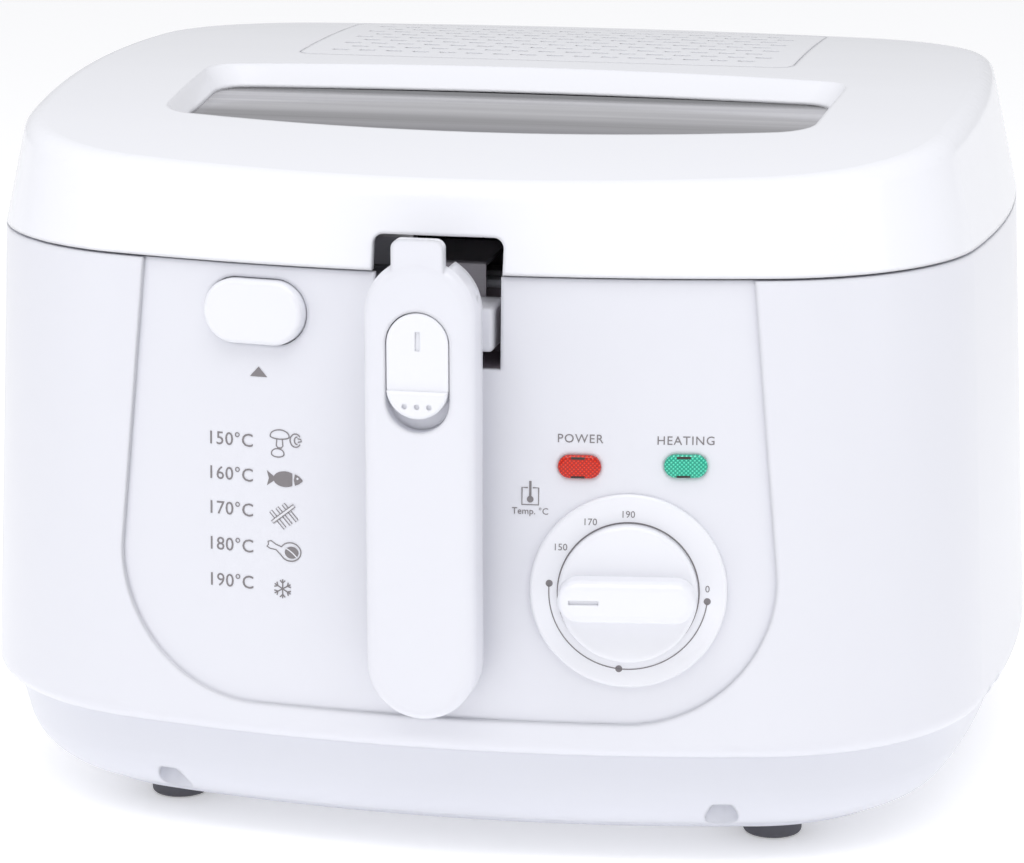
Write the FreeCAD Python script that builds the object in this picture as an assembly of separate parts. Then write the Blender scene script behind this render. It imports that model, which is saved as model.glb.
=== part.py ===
"""Deep fryer with a hinged lid, a fold-down basket handle and a turning thermostat knob.

Millimetres, +Z up, the front faces -Y. The parts are drawn about the middle of the body
and then moved by SHIFT_Y, so that z = 0 is the worktop and the origin is the middle of
the whole fryer's footprint, from the thumb slide's face to the back of the lid hinge.
"""
import math
import os

import FreeCAD
import Part

V = FreeCAD.Vector
X_AXIS = V(1, 0, 0)
Y_AXIS = V(0, 1, 0)
Z_AXIS = V(0, 0, 1)

# Body outline at the lid line: half sizes, and the radii of its front, side and corner arcs
HALF_W = 172.0
HALF_D = 149.0
R_FRONT = 460.0
R_SIDE = 515.0
R_CORNER = 77.0

# Heights above the worktop
FOOT_H = 9.5           # also the underside of the base
Z_BOWL = 11.6          # lower end of the base's bowl, above its foot ring
Z_PART = 42.0          # joint between the base and the housing
Z_DECK = 191.0         # underside of the housing's deck
Z_RIM = 200.0          # top edge of the housing
Z_LID = 200.8          # lower edge of the closed lid

# Control panel sunk into the front: half widths at its top and low down, corner radius
PANEL_TOP_X = 101.0
PANEL_LOW_X = 110.0
PANEL_LOW_Z = 102.0
PANEL_R = 48.0
PANEL_Z0 = 54.0

# Walls and drafts
FLARE = 7.2            # the housing is this much wider at Z_PART than at Z_RIM
WALL = 3.5
DECK_T = 2.5
BASE_WALL = 2.6
BASE_OUT = 0.4         # the top of the base lies this far outside the outline
PANEL_DEPTH = 1.6      # how far the control panel lies below the housing's surface
LID_WALL = 2.6
LID_LEAN = 0.22        # how far the lid's skirt leans in for each millimetre up

# The lid's top is an arch from front to back
ARCH_R = 1250.0
ARCH_Y = 57.0          # where the arch is highest
ARCH_Z = 245.0         # its height there

# Pot: half width, front and rear of its mouth, draft to the bottom, corner radius
POT_X = 138.0
POT_Y0 = -106.0
POT_Y1 = 122.0
POT_DRAFT = 8.0
POT_R = 48.0
POT_FLOOR = 72.0
POT_T = 1.2
FLANGE_W = 10.0
FLANGE_T = 1.5

# Handle, its pivot and the slot behind it; all are centred on HANDLE_X
HANDLE_X = 2.7
HANDLE_W = 36.0
HANDLE_Z0 = 59.0
HANDLE_Z1 = 210.0
HANDLE_FACE = -176.0
GRIP_FACE = -177.4     # front of the thumb slide, the foremost face of the fryer
HANDLE_BACK = -161.0
PIVOT_Y = -166.0
PIVOT_Z = 196.0
PIN_R = 1.5
RUNNING = 0.05         # radial clearance of a pin that turns in its hole
SLOT_W = 41.5
SLOT_Z0 = 170.0
NOTCH_W = 43.0         # notch in the lid's skirt above the slot
NOTCH_Z1 = 212.5
TAB_W = 17.0
TAB_Z1 = 216.5

# Controls on the panel: x, z of each centre
KNOB_AT = (65.5, 98.6)
RED_AT = (49.3, 139.2)
GREEN_AT = (83.1, 139.9)
BUTTON_AT = (-58.7, 185.0)
KNOB_R = 22.6
DIAL_R = 32.0
LENS_W = 14.0
LENS_H = 7.6
BUTTON_W = 34.8
BUTTON_H = 21.2
GAP = 0.35             # clearance round the button and between moving covers

# Lid hinge at the rear
HINGE_Y = 157.0
HINGE_Z = 197.0
HINGE_R = 6.0
HINGE_PIN_R = 2.0
HINGE_HALF = 30.0      # half width of the lid's barrel
LUG_T = 12.0

# Release latch behind the button: the lever's axis
LATCH_Y = -125.5
LATCH_Z = 160.0

# Window: half width, front, rear and the bows of both, at the lid's surface and at the pane
WINDOW_TOP = (119.0, -91.0, 21.0, 19.0, 15.0)
WINDOW_PANE = (109.0, -86.0, -2.0, 14.0, 3.0)
PANE_Z = 236.4         # height of the pane's upper face at its rear edge
PANE_SLOPE = 4.2       # degrees, down to the front
PANE_T = 3.0

# Filters under the lid's rear half, and the axis that their cover turns up about
FILTER_X = 91.0
FILTER_Y0 = 28.0
FILTER_Y1 = 124.0
COVER_Y = 123.4
COVER_Z = 243.0

# Basket, its steel bracket and the block that runs in the slot
BASKET_X = 118.0
BASKET_Y0 = -90.0
BASKET_Y1 = 104.0
BASKET_TOP = 183.0
BASKET_FLOOR = 84.0
BRACKET_X = 12.0       # half width of the steel bracket
BLOCK_X = 18.5         # half width of the hinge block

# Thumb slide and the track sunk into the handle for it
RECESS_Z0 = 154.5
RECESS_Z1 = 193.5
RECESS_W = 20.8
SLIDE_H = 34.0

# Screw towers and feet
SCREW_AT = ((-94.0, -129.5), (94.0, -129.5), (-93.0, 133.0), (93.0, 133.0))
FOOT_X = 105.0
FOOT_Y = 88.0
FOOT_R = 10.0

SHIFT_Y = -(GRIP_FACE + HINGE_Y + HINGE_R) / 2


# ---------------------------------------------------------------- shape helpers
def box(x0, x1, y0, y1, z0, z1):
    return Part.makeBox(x1 - x0, y1 - y0, z1 - z0, V(x0, y0, z0))


def cylinder(radius, height, base, axis=Z_AXIS):
    return Part.makeCylinder(radius, height, V(*base), axis)


def fuse(shapes):
    whole = shapes[0]
    for shape in shapes[1:]:
        whole = whole.fuse(shape)
    return whole.removeSplitter()


def cut(shape, tools):
    for tool in tools:
        shape = shape.cut(tool)
    return shape


def fillet_where(shape, radius, test):
    """Round the edges whose bounding box passes the test."""
    edges = [e for e in shape.Edges if test(e.BoundBox)]
    return shape.makeFillet(radius, edges)


def corner_arcs(width, depth, r_front, r_side, r_corner):
    """Centres of the outline's front, side and corner arcs in the quarter x > 0, y < 0."""
    front = V(0, r_front - depth, 0)
    side = V(width - r_side, 0, 0)
    a = r_front - r_corner
    b = r_side - r_corner
    span = side.sub(front)
    gap = span.Length
    along = (a * a - b * b + gap * gap) / (2 * gap)
    across = math.sqrt(a * a - along * along)
    unit = span.multiply(1 / gap)
    corner = front.add(V(unit).multiply(along)).add(V(-unit.y, unit.x, 0).multiply(across))
    return front, side, corner


def outline(offset, z):
    """The body's plan outline, moved outwards by offset, as a closed wire of eight arcs."""
    front, side, corner = corner_arcs(HALF_W, HALF_D, R_FRONT, R_SIDE, R_CORNER)

    def on(centre, through, radius):
        ray = through.sub(centre).normalize()
        return centre.add(ray.multiply(radius + offset))

    start = on(front, corner, R_FRONT)
    end = on(side, corner, R_SIDE)
    middle = on(corner, corner.add(start.sub(corner).normalize()).add(end.sub(corner).normalize()),
                R_CORNER)
    nose = V(0, -HALF_D - offset, 0)
    cheek = V(HALF_W + offset, 0, 0)

    def at(p, sx=1, sy=1):
        return V(p.x * sx, p.y * sy, z)

    arcs = [(at(start, -1), at(nose), at(start)),
            (at(start), at(middle), at(end)),
            (at(end), at(cheek), at(end, 1, -1)),
            (at(end, 1, -1), at(middle, 1, -1), at(start, 1, -1)),
            (at(start, 1, -1), at(nose, 1, -1), at(start, -1, -1)),
            (at(start, -1, -1), at(middle, -1, -1), at(end, -1, -1)),
            (at(end, -1, -1), at(cheek, -1), at(end, -1)),
            (at(end, -1), at(middle, -1), at(start, -1))]
    return Part.Wire([Part.Arc(*points).toShape() for points in arcs])


def body_loft(*sections):
    """A solid through the outline at each (offset, z)."""
    return Part.makeLoft([outline(offset, z) for offset, z in sections], True, True)


def rounded(x0, x1, y0, y1, radius, z):
    """A rounded rectangle as a closed wire."""
    q = radius * (1 - math.sqrt(0.5))
    corners = [((x1 - radius, y0), (x1 - q, y0 + q), (x1, y0 + radius)),
               ((x1, y1 - radius), (x1 - q, y1 - q), (x1 - radius, y1)),
               ((x0 + radius, y1), (x0 + q, y1 - q), (x0, y1 - radius)),
               ((x0, y0 + radius), (x0 + q, y0 + q), (x0 + radius, y0))]
    edges = []
    for i, (start, middle, end) in enumerate(corners):
        following = corners[(i + 1) % 4][0]
        edges.append(Part.Arc(V(*start, z), V(*middle, z), V(*end, z)).toShape())
        edges.append(Part.LineSegment(V(*end, z), V(*following, z)).toShape())
    return Part.Wire(edges)


def tub(x, y0, y1, radius, z_top, z_bottom, draft=0.0):
    """A drafted solid with a rounded rectangle for its plan, x either side of the middle."""
    top = rounded(-x, x, y0, y1, radius, z_top)
    bottom = rounded(-x + draft, x - draft, y0 + draft, y1 - draft, radius - draft * 0.7, z_bottom)
    return Part.makeLoft([bottom, top], True, True)


def stadium(width, height, depth0, depth1, centre=(0, 0)):
    """A stadium in the XZ plane, from y = depth0 to y = depth1; its long side may be x or z."""
    radius = min(width, height) / 2
    x0, x1 = centre[0] - width / 2, centre[0] + width / 2
    z0, z1 = centre[1] - height / 2, centre[1] + height / 2
    length = depth1 - depth0
    if width > height:
        shapes = [cylinder(radius, length, (x, depth0, centre[1]), Y_AXIS)
                  for x in (x0 + radius, x1 - radius)]
        shapes.append(box(x0 + radius, x1 - radius, depth0, depth1, z0, z1))
    else:
        shapes = [cylinder(radius, length, (centre[0], depth0, z), Y_AXIS)
                  for z in (z0 + radius, z1 - radius)]
        shapes.append(box(x0, x1, depth0, depth1, z0 + radius, z1 - radius))
    return fuse(shapes)


def tube(points, radius, bend):
    """A round bar or lead along straight runs joined by arcs of the bend radius."""
    points = [V(*p) for p in points]
    edges = []
    start = points[0]
    for before, corner, after in zip(points, points[1:], points[2:]):
        back = before.sub(corner).normalize()
        ahead = after.sub(corner).normalize()
        half = back.getAngle(ahead) / 2
        reach = bend / math.tan(half)
        first = corner.add(V(back).multiply(reach))
        last = corner.add(V(ahead).multiply(reach))
        towards = V(back).add(ahead).normalize()
        centre = corner.add(V(towards).multiply(bend / math.sin(half)))
        middle = centre.sub(towards.multiply(bend))
        edges.append(Part.LineSegment(start, first).toShape())
        edges.append(Part.Arc(first, middle, last).toShape())
        start = last
    edges.append(Part.LineSegment(start, points[-1]).toShape())
    section = Part.Wire(Part.makeCircle(radius, points[0], points[1].sub(points[0])))
    return Part.Wire(edges).makePipeShell([section], True, True)


def front_place(at, offset=0.0):
    """Where the panel's surface lies at (x, z): local x to the right, y into the body, z up."""
    x, z = at
    out = FLARE * (Z_RIM - z) / (Z_RIM - Z_PART) - PANEL_DEPTH + offset
    y = R_FRONT - HALF_D - math.sqrt((R_FRONT + out) ** 2 - x * x)
    turn = FreeCAD.Rotation(Z_AXIS, math.degrees(math.asin(x / (R_FRONT + out))))
    lean = FreeCAD.Rotation(X_AXIS, -math.degrees(math.atan(FLARE / (Z_RIM - Z_PART))))
    return FreeCAD.Placement(V(x, y, z), turn.multiply(lean))


def on_panel(shape, at):
    shape.Placement = front_place(at).multiply(shape.Placement)
    return shape


def arch_solid(drop=0.0):
    """Everything below the lid's arched top, lowered by drop."""
    return Part.makeCylinder(ARCH_R - drop, 2 * HALF_W + 40,
                             V(-HALF_W - 20, ARCH_Y, ARCH_Z - ARCH_R), X_AXIS)


def panel_core():
    """Everything behind the surface of the control panel."""
    return body_loft((FLARE - PANEL_DEPTH, Z_PART), (-PANEL_DEPTH, Z_RIM), (-PANEL_DEPTH, Z_RIM + 1))


def panel_region():
    """The front block whose outline is the sunk panel: sides that spread downwards, round corners."""
    top = (PANEL_TOP_X, Z_RIM + 1)
    side = (PANEL_LOW_X, PANEL_LOW_Z)
    foot = (PANEL_LOW_X - PANEL_R, PANEL_Z0)
    turn = PANEL_R * math.sqrt(0.5)
    bend = (PANEL_LOW_X - PANEL_R + turn, PANEL_Z0 + PANEL_R - turn)

    def at(point, side_sign):
        return V(HANDLE_X + side_sign * point[0], -175, point[1])

    edges = [Part.LineSegment(at(top, -1), at(side, -1)).toShape(),
             Part.Arc(at(side, -1), at(bend, -1), at(foot, -1)).toShape(),
             Part.LineSegment(at(foot, -1), at(foot, 1)).toShape(),
             Part.Arc(at(foot, 1), at(bend, 1), at(side, 1)).toShape(),
             Part.LineSegment(at(side, 1), at(top, 1)).toShape(),
             Part.LineSegment(at(top, 1), at(top, -1)).toShape()]
    return Part.Face(Part.Wire(edges)).extrude(V(0, 60, 0))


# ---------------------------------------------------------------- housing and base
def make_housing():
    shell = body_loft((FLARE, Z_PART), (0, Z_RIM))
    shell = fillet_where(shell, 6.0, lambda b: b.ZMax < Z_PART + 0.01)
    low = FLARE * (Z_RIM - Z_DECK) / (Z_RIM - Z_PART)
    shell = cut(shell, [body_loft((FLARE - WALL - 5.0, Z_PART - 1), (FLARE - WALL, Z_PART + 7.0),
                                  (low - WALL, Z_DECK)),
                        body_loft((low - WALL, Z_DECK + DECK_T), (-WALL, Z_RIM + 1))])
    shell = shell.cut(panel_region().cut(panel_core()))
    pot_hole = tub(POT_X + POT_T + 1.0, POT_Y0 - POT_T - 1.0, POT_Y1 + POT_T + 1.0, POT_R + 2,
                   Z_DECK + DECK_T + 1, Z_DECK - 1)
    slot = box(HANDLE_X - SLOT_W / 2, HANDLE_X + SLOT_W / 2, -165, -120, SLOT_Z0, Z_RIM + 1)
    inside = body_loft((low - WALL, Z_DECK - 1), (low - WALL, Z_DECK + DECK_T + 1))
    latch_hole = box(-80, -37, -150, -116.3, Z_DECK - 2, Z_DECK + DECK_T + 2).common(inside)
    towers = [cylinder(5.0, Z_DECK - Z_PART, (*at, Z_PART)) for at in SCREW_AT]
    shell = fuse([shell] + towers)
    pilots = [cylinder(1.9, 26, (*at, Z_PART - 1)) for at in SCREW_AT]
    holes = [on_panel(stadium(BUTTON_W + 2 * GAP, BUTTON_H + 2 * GAP, -8, 8), BUTTON_AT),
             on_panel(stadium(LENS_W, LENS_H, -8, 8), RED_AT),
             on_panel(stadium(LENS_W, LENS_H, -8, 8), GREEN_AT),
             on_panel(cylinder(5.3, 16, (0, -8, 0), Y_AXIS), KNOB_AT),
             cylinder(6.5, 20, (60, 145, 62), Y_AXIS)]
    shell = cut(shell, [pot_hole, slot, latch_hole] + pilots + holes)
    lugs = []
    for side in (-1, 1):
        x0 = HINGE_HALF + 0.4 if side > 0 else -HINGE_HALF - 0.4 - LUG_T
        lugs.append(box(x0, x0 + LUG_T, HALF_D - WALL, HINGE_Y, HINGE_Z - 7, Z_RIM - 0.1))
        lugs.append(cylinder(HINGE_R, LUG_T, (x0, HINGE_Y, HINGE_Z), X_AXIS))
    shell = fuse([shell] + lugs)
    bore = cylinder(HINGE_PIN_R, 2 * (HINGE_HALF + LUG_T) + 4,
                    (-HINGE_HALF - LUG_T - 2, HINGE_Y, HINGE_Z), X_AXIS)
    return shell.cut(bore)


def base_solid(inset, round_r):
    """The bowl of the base with its lower edge rounded, and the drafted ring below it."""
    bowl = body_loft((-7.0 - inset, Z_BOWL + inset), (BASE_OUT - inset, Z_PART))
    bowl = fillet_where(bowl, round_r, lambda b: b.ZMax < Z_BOWL + inset + 0.01)
    ring = body_loft((-23.5 - inset, FOOT_H + inset), (-21.0 - inset, Z_BOWL + inset + 2.2))
    return fuse([bowl, ring])


def make_base():
    outer = base_solid(0.0, 22.0)
    shell = outer.cut(base_solid(BASE_WALL, 19.5))
    posts = []
    bores = []
    for at in SCREW_AT:
        posts.append(cylinder(7.5, Z_PART - FOOT_H, (*at, FOOT_H)).common(outer))
        bores.append(cylinder(5.5, 15.0, (*at, FOOT_H - 1)))
        bores.append(cylinder(4.3, 9.0, (*at, 21.0)))
        bores.append(cylinder(2.1, 50, (*at, FOOT_H)))
    shell = fuse([shell] + posts)
    feet = [cylinder(4.0, 8, (sx * FOOT_X, sy * FOOT_Y, FOOT_H - 1)) for sx in (-1, 1) for sy in (-1, 1)]
    vents = [box(x - 2, x + 2, -30, 30, FOOT_H - 1, FOOT_H + 5) for x in range(-72, 73, 12)]
    return cut(shell, bores + feet + vents)


def make_foot(sx, sy):
    """A rubber foot: a low round pad with a stem pushed up through the base."""
    pad = cylinder(FOOT_R, FOOT_H, (sx * FOOT_X, sy * FOOT_Y, 0))
    pad = fillet_where(pad, 1.5, lambda b: b.ZMax < 0.01)
    stem = cylinder(4.0, 5.5, (sx * FOOT_X, sy * FOOT_Y, FOOT_H))
    return fuse([pad, stem])


def make_base_screws():
    screws = []
    for x, y in SCREW_AT:
        head = cylinder(4.2, 3, (x, y, 27.0))
        shank = cylinder(1.9, 32, (x, y, 30.0))
        slot = box(x - 3, x + 3, y - 0.5, y + 0.5, 26, 28)
        screws.append(fuse([head, shank]).cut(slot))
    return Part.makeCompound(screws)


def make_slot_liner():
    x0 = HANDLE_X - SLOT_W / 2 - 0.2
    x1 = HANDLE_X + SLOT_W / 2 + 0.2
    wall = 1.5
    liner = box(x0 - wall, x1 + wall, -145.2, -118, SLOT_Z0 - 0.2 - wall, Z_DECK)
    return liner.cut(box(x0, x1, -150, -118 - wall, SLOT_Z0 - 0.2, Z_DECK + 5))


def make_cord_gland():
    """A moulded bush in the rear wall that the mains lead passes through."""
    wall_y = HALF_D + FLARE * (Z_RIM - 62) / (Z_RIM - Z_PART)
    flange = cylinder(9.5, 2.5, (60, wall_y + 0.6, 62), Y_AXIS)
    flange = fillet_where(flange, 1.0, lambda b: b.YMin > wall_y + 2.9)
    neck = cylinder(6.4, 9.0, (60, wall_y - 8.0, 62), Y_AXIS)
    return fuse([flange, neck]).cut(cylinder(4.0, 30, (60, wall_y - 12, 62), Y_AXIS))


# ---------------------------------------------------------------- pot, heater and wiring
def make_pot():
    rim_z = Z_DECK + DECK_T + 0.8
    outer = tub(POT_X + POT_T, POT_Y0 - POT_T, POT_Y1 + POT_T, POT_R + POT_T, rim_z,
                POT_FLOOR - POT_T, POT_DRAFT)
    outer = fillet_where(outer, 9.0, lambda b: b.ZMax < POT_FLOOR - POT_T + 0.01)
    flange = tub(POT_X + FLANGE_W, POT_Y0 - FLANGE_W, POT_Y1 + FLANGE_W, POT_R + FLANGE_W,
                 rim_z + FLANGE_T, rim_z)
    inner = tub(POT_X, POT_Y0, POT_Y1, POT_R, rim_z + FLANGE_T + 0.1, POT_FLOOR, POT_DRAFT)
    inner = fillet_where(inner, 8.0, lambda b: b.ZMax < POT_FLOOR + 0.01)
    return fuse([outer, flange]).cut(inner)


def make_pot_gasket():
    """The flat ring between the housing's deck and the pot's flange."""
    z0 = Z_DECK + DECK_T
    ring = tub(POT_X + 8, POT_Y0 - 8, POT_Y1 + 8, POT_R + 8, z0 + 0.8, z0)
    ring = ring.cut(tub(POT_X + 3, POT_Y0 - 3, POT_Y1 + 3, POT_R + 3, z0 + 1, z0 - 0.1))
    return ring.cut(box(HANDLE_X - 21, HANDLE_X + 21, -130, -112, z0 - 1, z0 + 2))


def make_element():
    """The tubular heater: one loop under the pot's floor with both cold ends at the rear."""
    r = 3.3
    z = POT_FLOOR - POT_T - r
    route = [(-14, 126, z - 22), (-14, 112, z), (-14, 84, z), (-88, 84, z), (-88, -62, z), (88, -62, z),
             (88, 84, z), (14, 84, z), (14, 112, z), (14, 126, z - 22)]
    return tube(route, r, 13.0)


def make_element_clamps():
    z1 = POT_FLOOR - POT_T - 6.6
    strips = [box(-96, 96, y - 6, y + 6, z1 - 1.5, z1) for y in (-20, 40)]
    return Part.makeCompound(strips)


def make_heat_shield():
    """A thin tray over the base's floor that keeps the heat off it."""
    z = 48.0
    plate = tub(128, -88, 108, 30, z + 1, z)
    legs = [cylinder(4, z - FOOT_H - BASE_WALL, (sx * 60, sy * 70, FOOT_H + BASE_WALL))
            for sx in (-1, 1) for sy in (-1, 1)]
    return fuse([plate] + legs)


def make_thermostat():
    """Switch body behind the panel with the threaded bush that the shaft turns in."""
    body = box(-15, 15, 9, 32, -13, 13)
    bush = cylinder(5.0, 10.9, (0, -1.9, 0), Y_AXIS)
    tags = [box(x - 2, x + 2, 32, 38, -8, -7) for x in (-8, 8)]
    shape = fuse([body, bush] + tags)
    return on_panel(shape.cut(cylinder(3.0 + RUNNING, 18, (0, -3, 0), Y_AXIS)), KNOB_AT)


def make_thermostat_nut():
    flats = Part.Face(Part.makePolygon([V(8 * math.cos(math.radians(60 * i)), -1.9,
                                          8 * math.sin(math.radians(60 * i))) for i in range(7)]))
    nut = flats.extrude(V(0, 1.8, 0))
    return on_panel(nut.cut(cylinder(5.0, 4, (0, -3, 0), Y_AXIS)), KNOB_AT)


def make_thermostat_shaft():
    shaft = cylinder(3.0, 22.0, (0, -9.5, 0), Y_AXIS)
    return on_panel(shaft, KNOB_AT)


def make_sensor():
    """The sensing bulb under the pot's floor and its fine tube to the thermostat."""
    z = POT_FLOOR - POT_T - 3.0
    bulb = cylinder(3.0, 60, (52, -44, z), Y_AXIS)
    fine = tube([(52, -43, z), (52, -54, 57), (52, -100, 57), (60, -116, 75), (60, -116, 83.5)], 0.9, 4.0)
    return fuse([bulb, fine])


def make_safety_cutout():
    can = cylinder(8.0, 7.0, (0, 20, POT_FLOOR - POT_T - 7.1))
    tags = [box(x - 1.5, x + 1.5, 18, 22, POT_FLOOR - POT_T - 12, POT_FLOOR - POT_T - 7) for x in (-4, 4)]
    return fuse([can] + tags)


def make_terminal_block():
    block = box(44, 76, 92, 106, FOOT_H + BASE_WALL, 29)
    wells = [cylinder(2.2, 8, (x, 99, 23)) for x in (50, 60, 70)]
    return cut(block, wells)


def make_leads():
    """Internal wiring: mains to the block, block to the thermostat and on to the heater."""
    runs = [[(60, 146, 62), (60, 134, 62), (60, 122, 36), (60, 107, 25)],
            [(52, 90, 21), (52, 40, 18), (100, -60, 18), (100, -112, 42), (74, -112, 84)],
            [(68, 90, 21), (20, 60, 18), (-96, 10, 18), (-96, -100, 33), (-40, -118, 120), (40, -122, 139)]]
    return Part.makeCompound([tube(run, 1.4, 7.0) for run in runs])


# ---------------------------------------------------------------- panel controls
def make_dial():
    """The printed ring behind the knob; its back follows the panel's curve."""
    disc = cylinder(DIAL_R, 6.0, (0, -1.8, 0), Y_AXIS)
    disc = fillet_where(disc, 1.1, lambda b: b.YMax < -1.79)
    disc = on_panel(disc.cut(cylinder(9.5, 12, (0, -4, 0), Y_AXIS)), KNOB_AT)
    return disc.cut(panel_core())


def make_knob():
    """Round skirt with a raised grip bar across it and a groove that marks its setting."""
    skirt = cylinder(KNOB_R, 4.4, (0, -6.8, 0), Y_AXIS)
    skirt = fillet_where(skirt, 1.6, lambda b: b.YMax < -6.79)
    bar = stadium(2 * KNOB_R - 0.6, 13.8, -16.5, -5.0, (0, -0.6))
    bar = fillet_where(bar, 3.0, lambda b: b.YMax < -16.49)
    hub = cylinder(6.0, 3.0, (0, -4.9, 0), Y_AXIS)
    groove = box(-18.5, -9.0, -17.5, -15.7, -1.2, 0.0)
    bore = cylinder(3.0, 8.5, (0, -9.5, 0), Y_AXIS)
    return on_panel(cut(fuse([skirt, bar, hub]), [groove, bore]), KNOB_AT)


def make_lens(at):
    lens = stadium(LENS_W, LENS_H, -1.6, 5.0)
    lens = fillet_where(lens, 1.2, lambda b: b.YMax < -1.59)
    return on_panel(lens, at)


def make_neon(at):
    glass = cylinder(3.2, 12.0, (0, 5.2, 0), Y_AXIS)
    return on_panel(fillet_where(glass, 1.5, lambda b: b.YMin > 17), at)


def make_release_button():
    """Push button: a domed stadium with a flange inside the wall and a stem on to the latch."""
    cap = stadium(BUTTON_W, BUTTON_H, -4.0, 4.0)
    cap = fillet_where(cap, 1.8, lambda b: b.YMax < -3.99)
    flange = stadium(BUTTON_W + 5, BUTTON_H + 5 - 2, 4.0, 5.5)
    stem = box(-4, 4, 5.5, 16.0, -6, -3)
    return on_panel(fuse([cap, flange, stem]), BUTTON_AT)


def make_release_spring():
    """Return spring round the button's stem, drawn as a sleeve."""
    sleeve = cylinder(6.4, 3.6, (0, 5.6, -4.5), Y_AXIS)
    return on_panel(sleeve.cut(cylinder(5.4, 6, (0, 5.2, -4.5), Y_AXIS)), BUTTON_AT)


def make_latch_lever():
    """Rocker behind the button; its nose points forwards at the lid's catch."""
    x0, x1 = BUTTON_AT[0] - 6, BUTTON_AT[0] + 8
    arm = box(x0, x1, LATCH_Y - 2, LATCH_Y + 2, LATCH_Z, 194)
    nose = box(x0, x1, LATCH_Y - 4.8, LATCH_Y, 190.4, 194)
    barrel = cylinder(4.5, x1 - x0, (x0, LATCH_Y, LATCH_Z), X_AXIS)
    return fuse([arm, nose, barrel]).cut(cylinder(1.5 + RUNNING, 40, (x0 - 5, LATCH_Y, LATCH_Z), X_AXIS))


def make_latch_pin():
    x0 = BUTTON_AT[0] - 12
    return cylinder(1.5, 26, (x0, LATCH_Y, LATCH_Z), X_AXIS)


def make_latch_bracket():
    """Two cheeks under the deck that carry the latch's pin."""
    x0, x1 = BUTTON_AT[0] - 6, BUTTON_AT[0] + 8
    cheeks = [box(x0 - 3.4, x0 - 0.4, LATCH_Y - 5, LATCH_Y + 8, LATCH_Z - 5, Z_DECK),
              box(x1 + 0.4, x1 + 3.4, LATCH_Y - 5, LATCH_Y + 8, LATCH_Z - 5, Z_DECK),
              box(x0 - 3.4, x1 + 3.4, LATCH_Y + 6.5, LATCH_Y + 8, LATCH_Z - 5, LATCH_Z + 6)]
    return fuse(cheeks).cut(cylinder(1.5, 40, (x0 - 10, LATCH_Y, LATCH_Z), X_AXIS))


# ---------------------------------------------------------------- lid
def barrel_wire(x, y0, y1, bulge0, bulge1, z):
    """Four-sided wire whose front and rear edges bow outwards."""
    edges = [Part.Arc(V(-x, y0 + bulge0, z), V(0, y0, z), V(x, y0 + bulge0, z)).toShape(),
             Part.LineSegment(V(x, y0 + bulge0, z), V(x, y1 - bulge1, z)).toShape(),
             Part.Arc(V(x, y1 - bulge1, z), V(0, y1, z), V(-x, y1 - bulge1, z)).toShape(),
             Part.LineSegment(V(-x, y1 - bulge1, z), V(-x, y0 + bulge0, z)).toShape()]
    return Part.Wire(edges)


def window_cutter():
    """The sunk, bevelled opening round the pane."""
    upper = barrel_wire(*WINDOW_TOP, 250.0)
    lower = barrel_wire(*WINDOW_PANE, 234.0)
    bevel = Part.makeLoft([lower, upper], True, True)
    bevel = fillet_where(bevel, 14.0, lambda b: b.ZLength > 10)
    shaft = Part.Face(barrel_wire(*WINDOW_PANE, 215.0)).extrude(V(0, 0, 25))
    shaft = fillet_where(shaft, 10.0, lambda b: b.ZLength > 10)
    return bevel, shaft


def pane_place(shape):
    """Tilt a flat shape drawn with its top at z = 0 to lie where the pane does."""
    shape.rotate(V(0, WINDOW_PANE[2], 0), X_AXIS, PANE_SLOPE)
    shape.translate(V(0, 0, PANE_Z))
    return shape


def make_pane():
    face = Part.Face(barrel_wire(WINDOW_PANE[0] + 3, WINDOW_PANE[1] - 2, WINDOW_PANE[2] + 2, 14, 3, -PANE_T))
    return pane_place(face.extrude(V(0, 0, PANE_T)))


def make_window_gasket():
    """The dark rubber that holds the pane from below."""
    outer = Part.Face(barrel_wire(WINDOW_PANE[0] + 5, WINDOW_PANE[1] - 4, WINDOW_PANE[2] + 4, 14, 3,
                                  -PANE_T - 2.5)).extrude(V(0, 0, 2.5))
    inner = Part.Face(barrel_wire(WINDOW_PANE[0] - 3, WINDOW_PANE[1] + 4, WINDOW_PANE[2] - 4, 14, 3,
                                  -PANE_T - 3)).extrude(V(0, 0, 4))
    return pane_place(outer.cut(inner))


def lid_inside():
    """The hollow of the lid."""
    top_z = ARCH_Z + 10
    inner = body_loft((-LID_WALL, Z_LID - 1), (-LID_LEAN * (top_z - Z_LID) - LID_WALL, top_z))
    return inner.common(arch_solid(LID_WALL))


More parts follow.
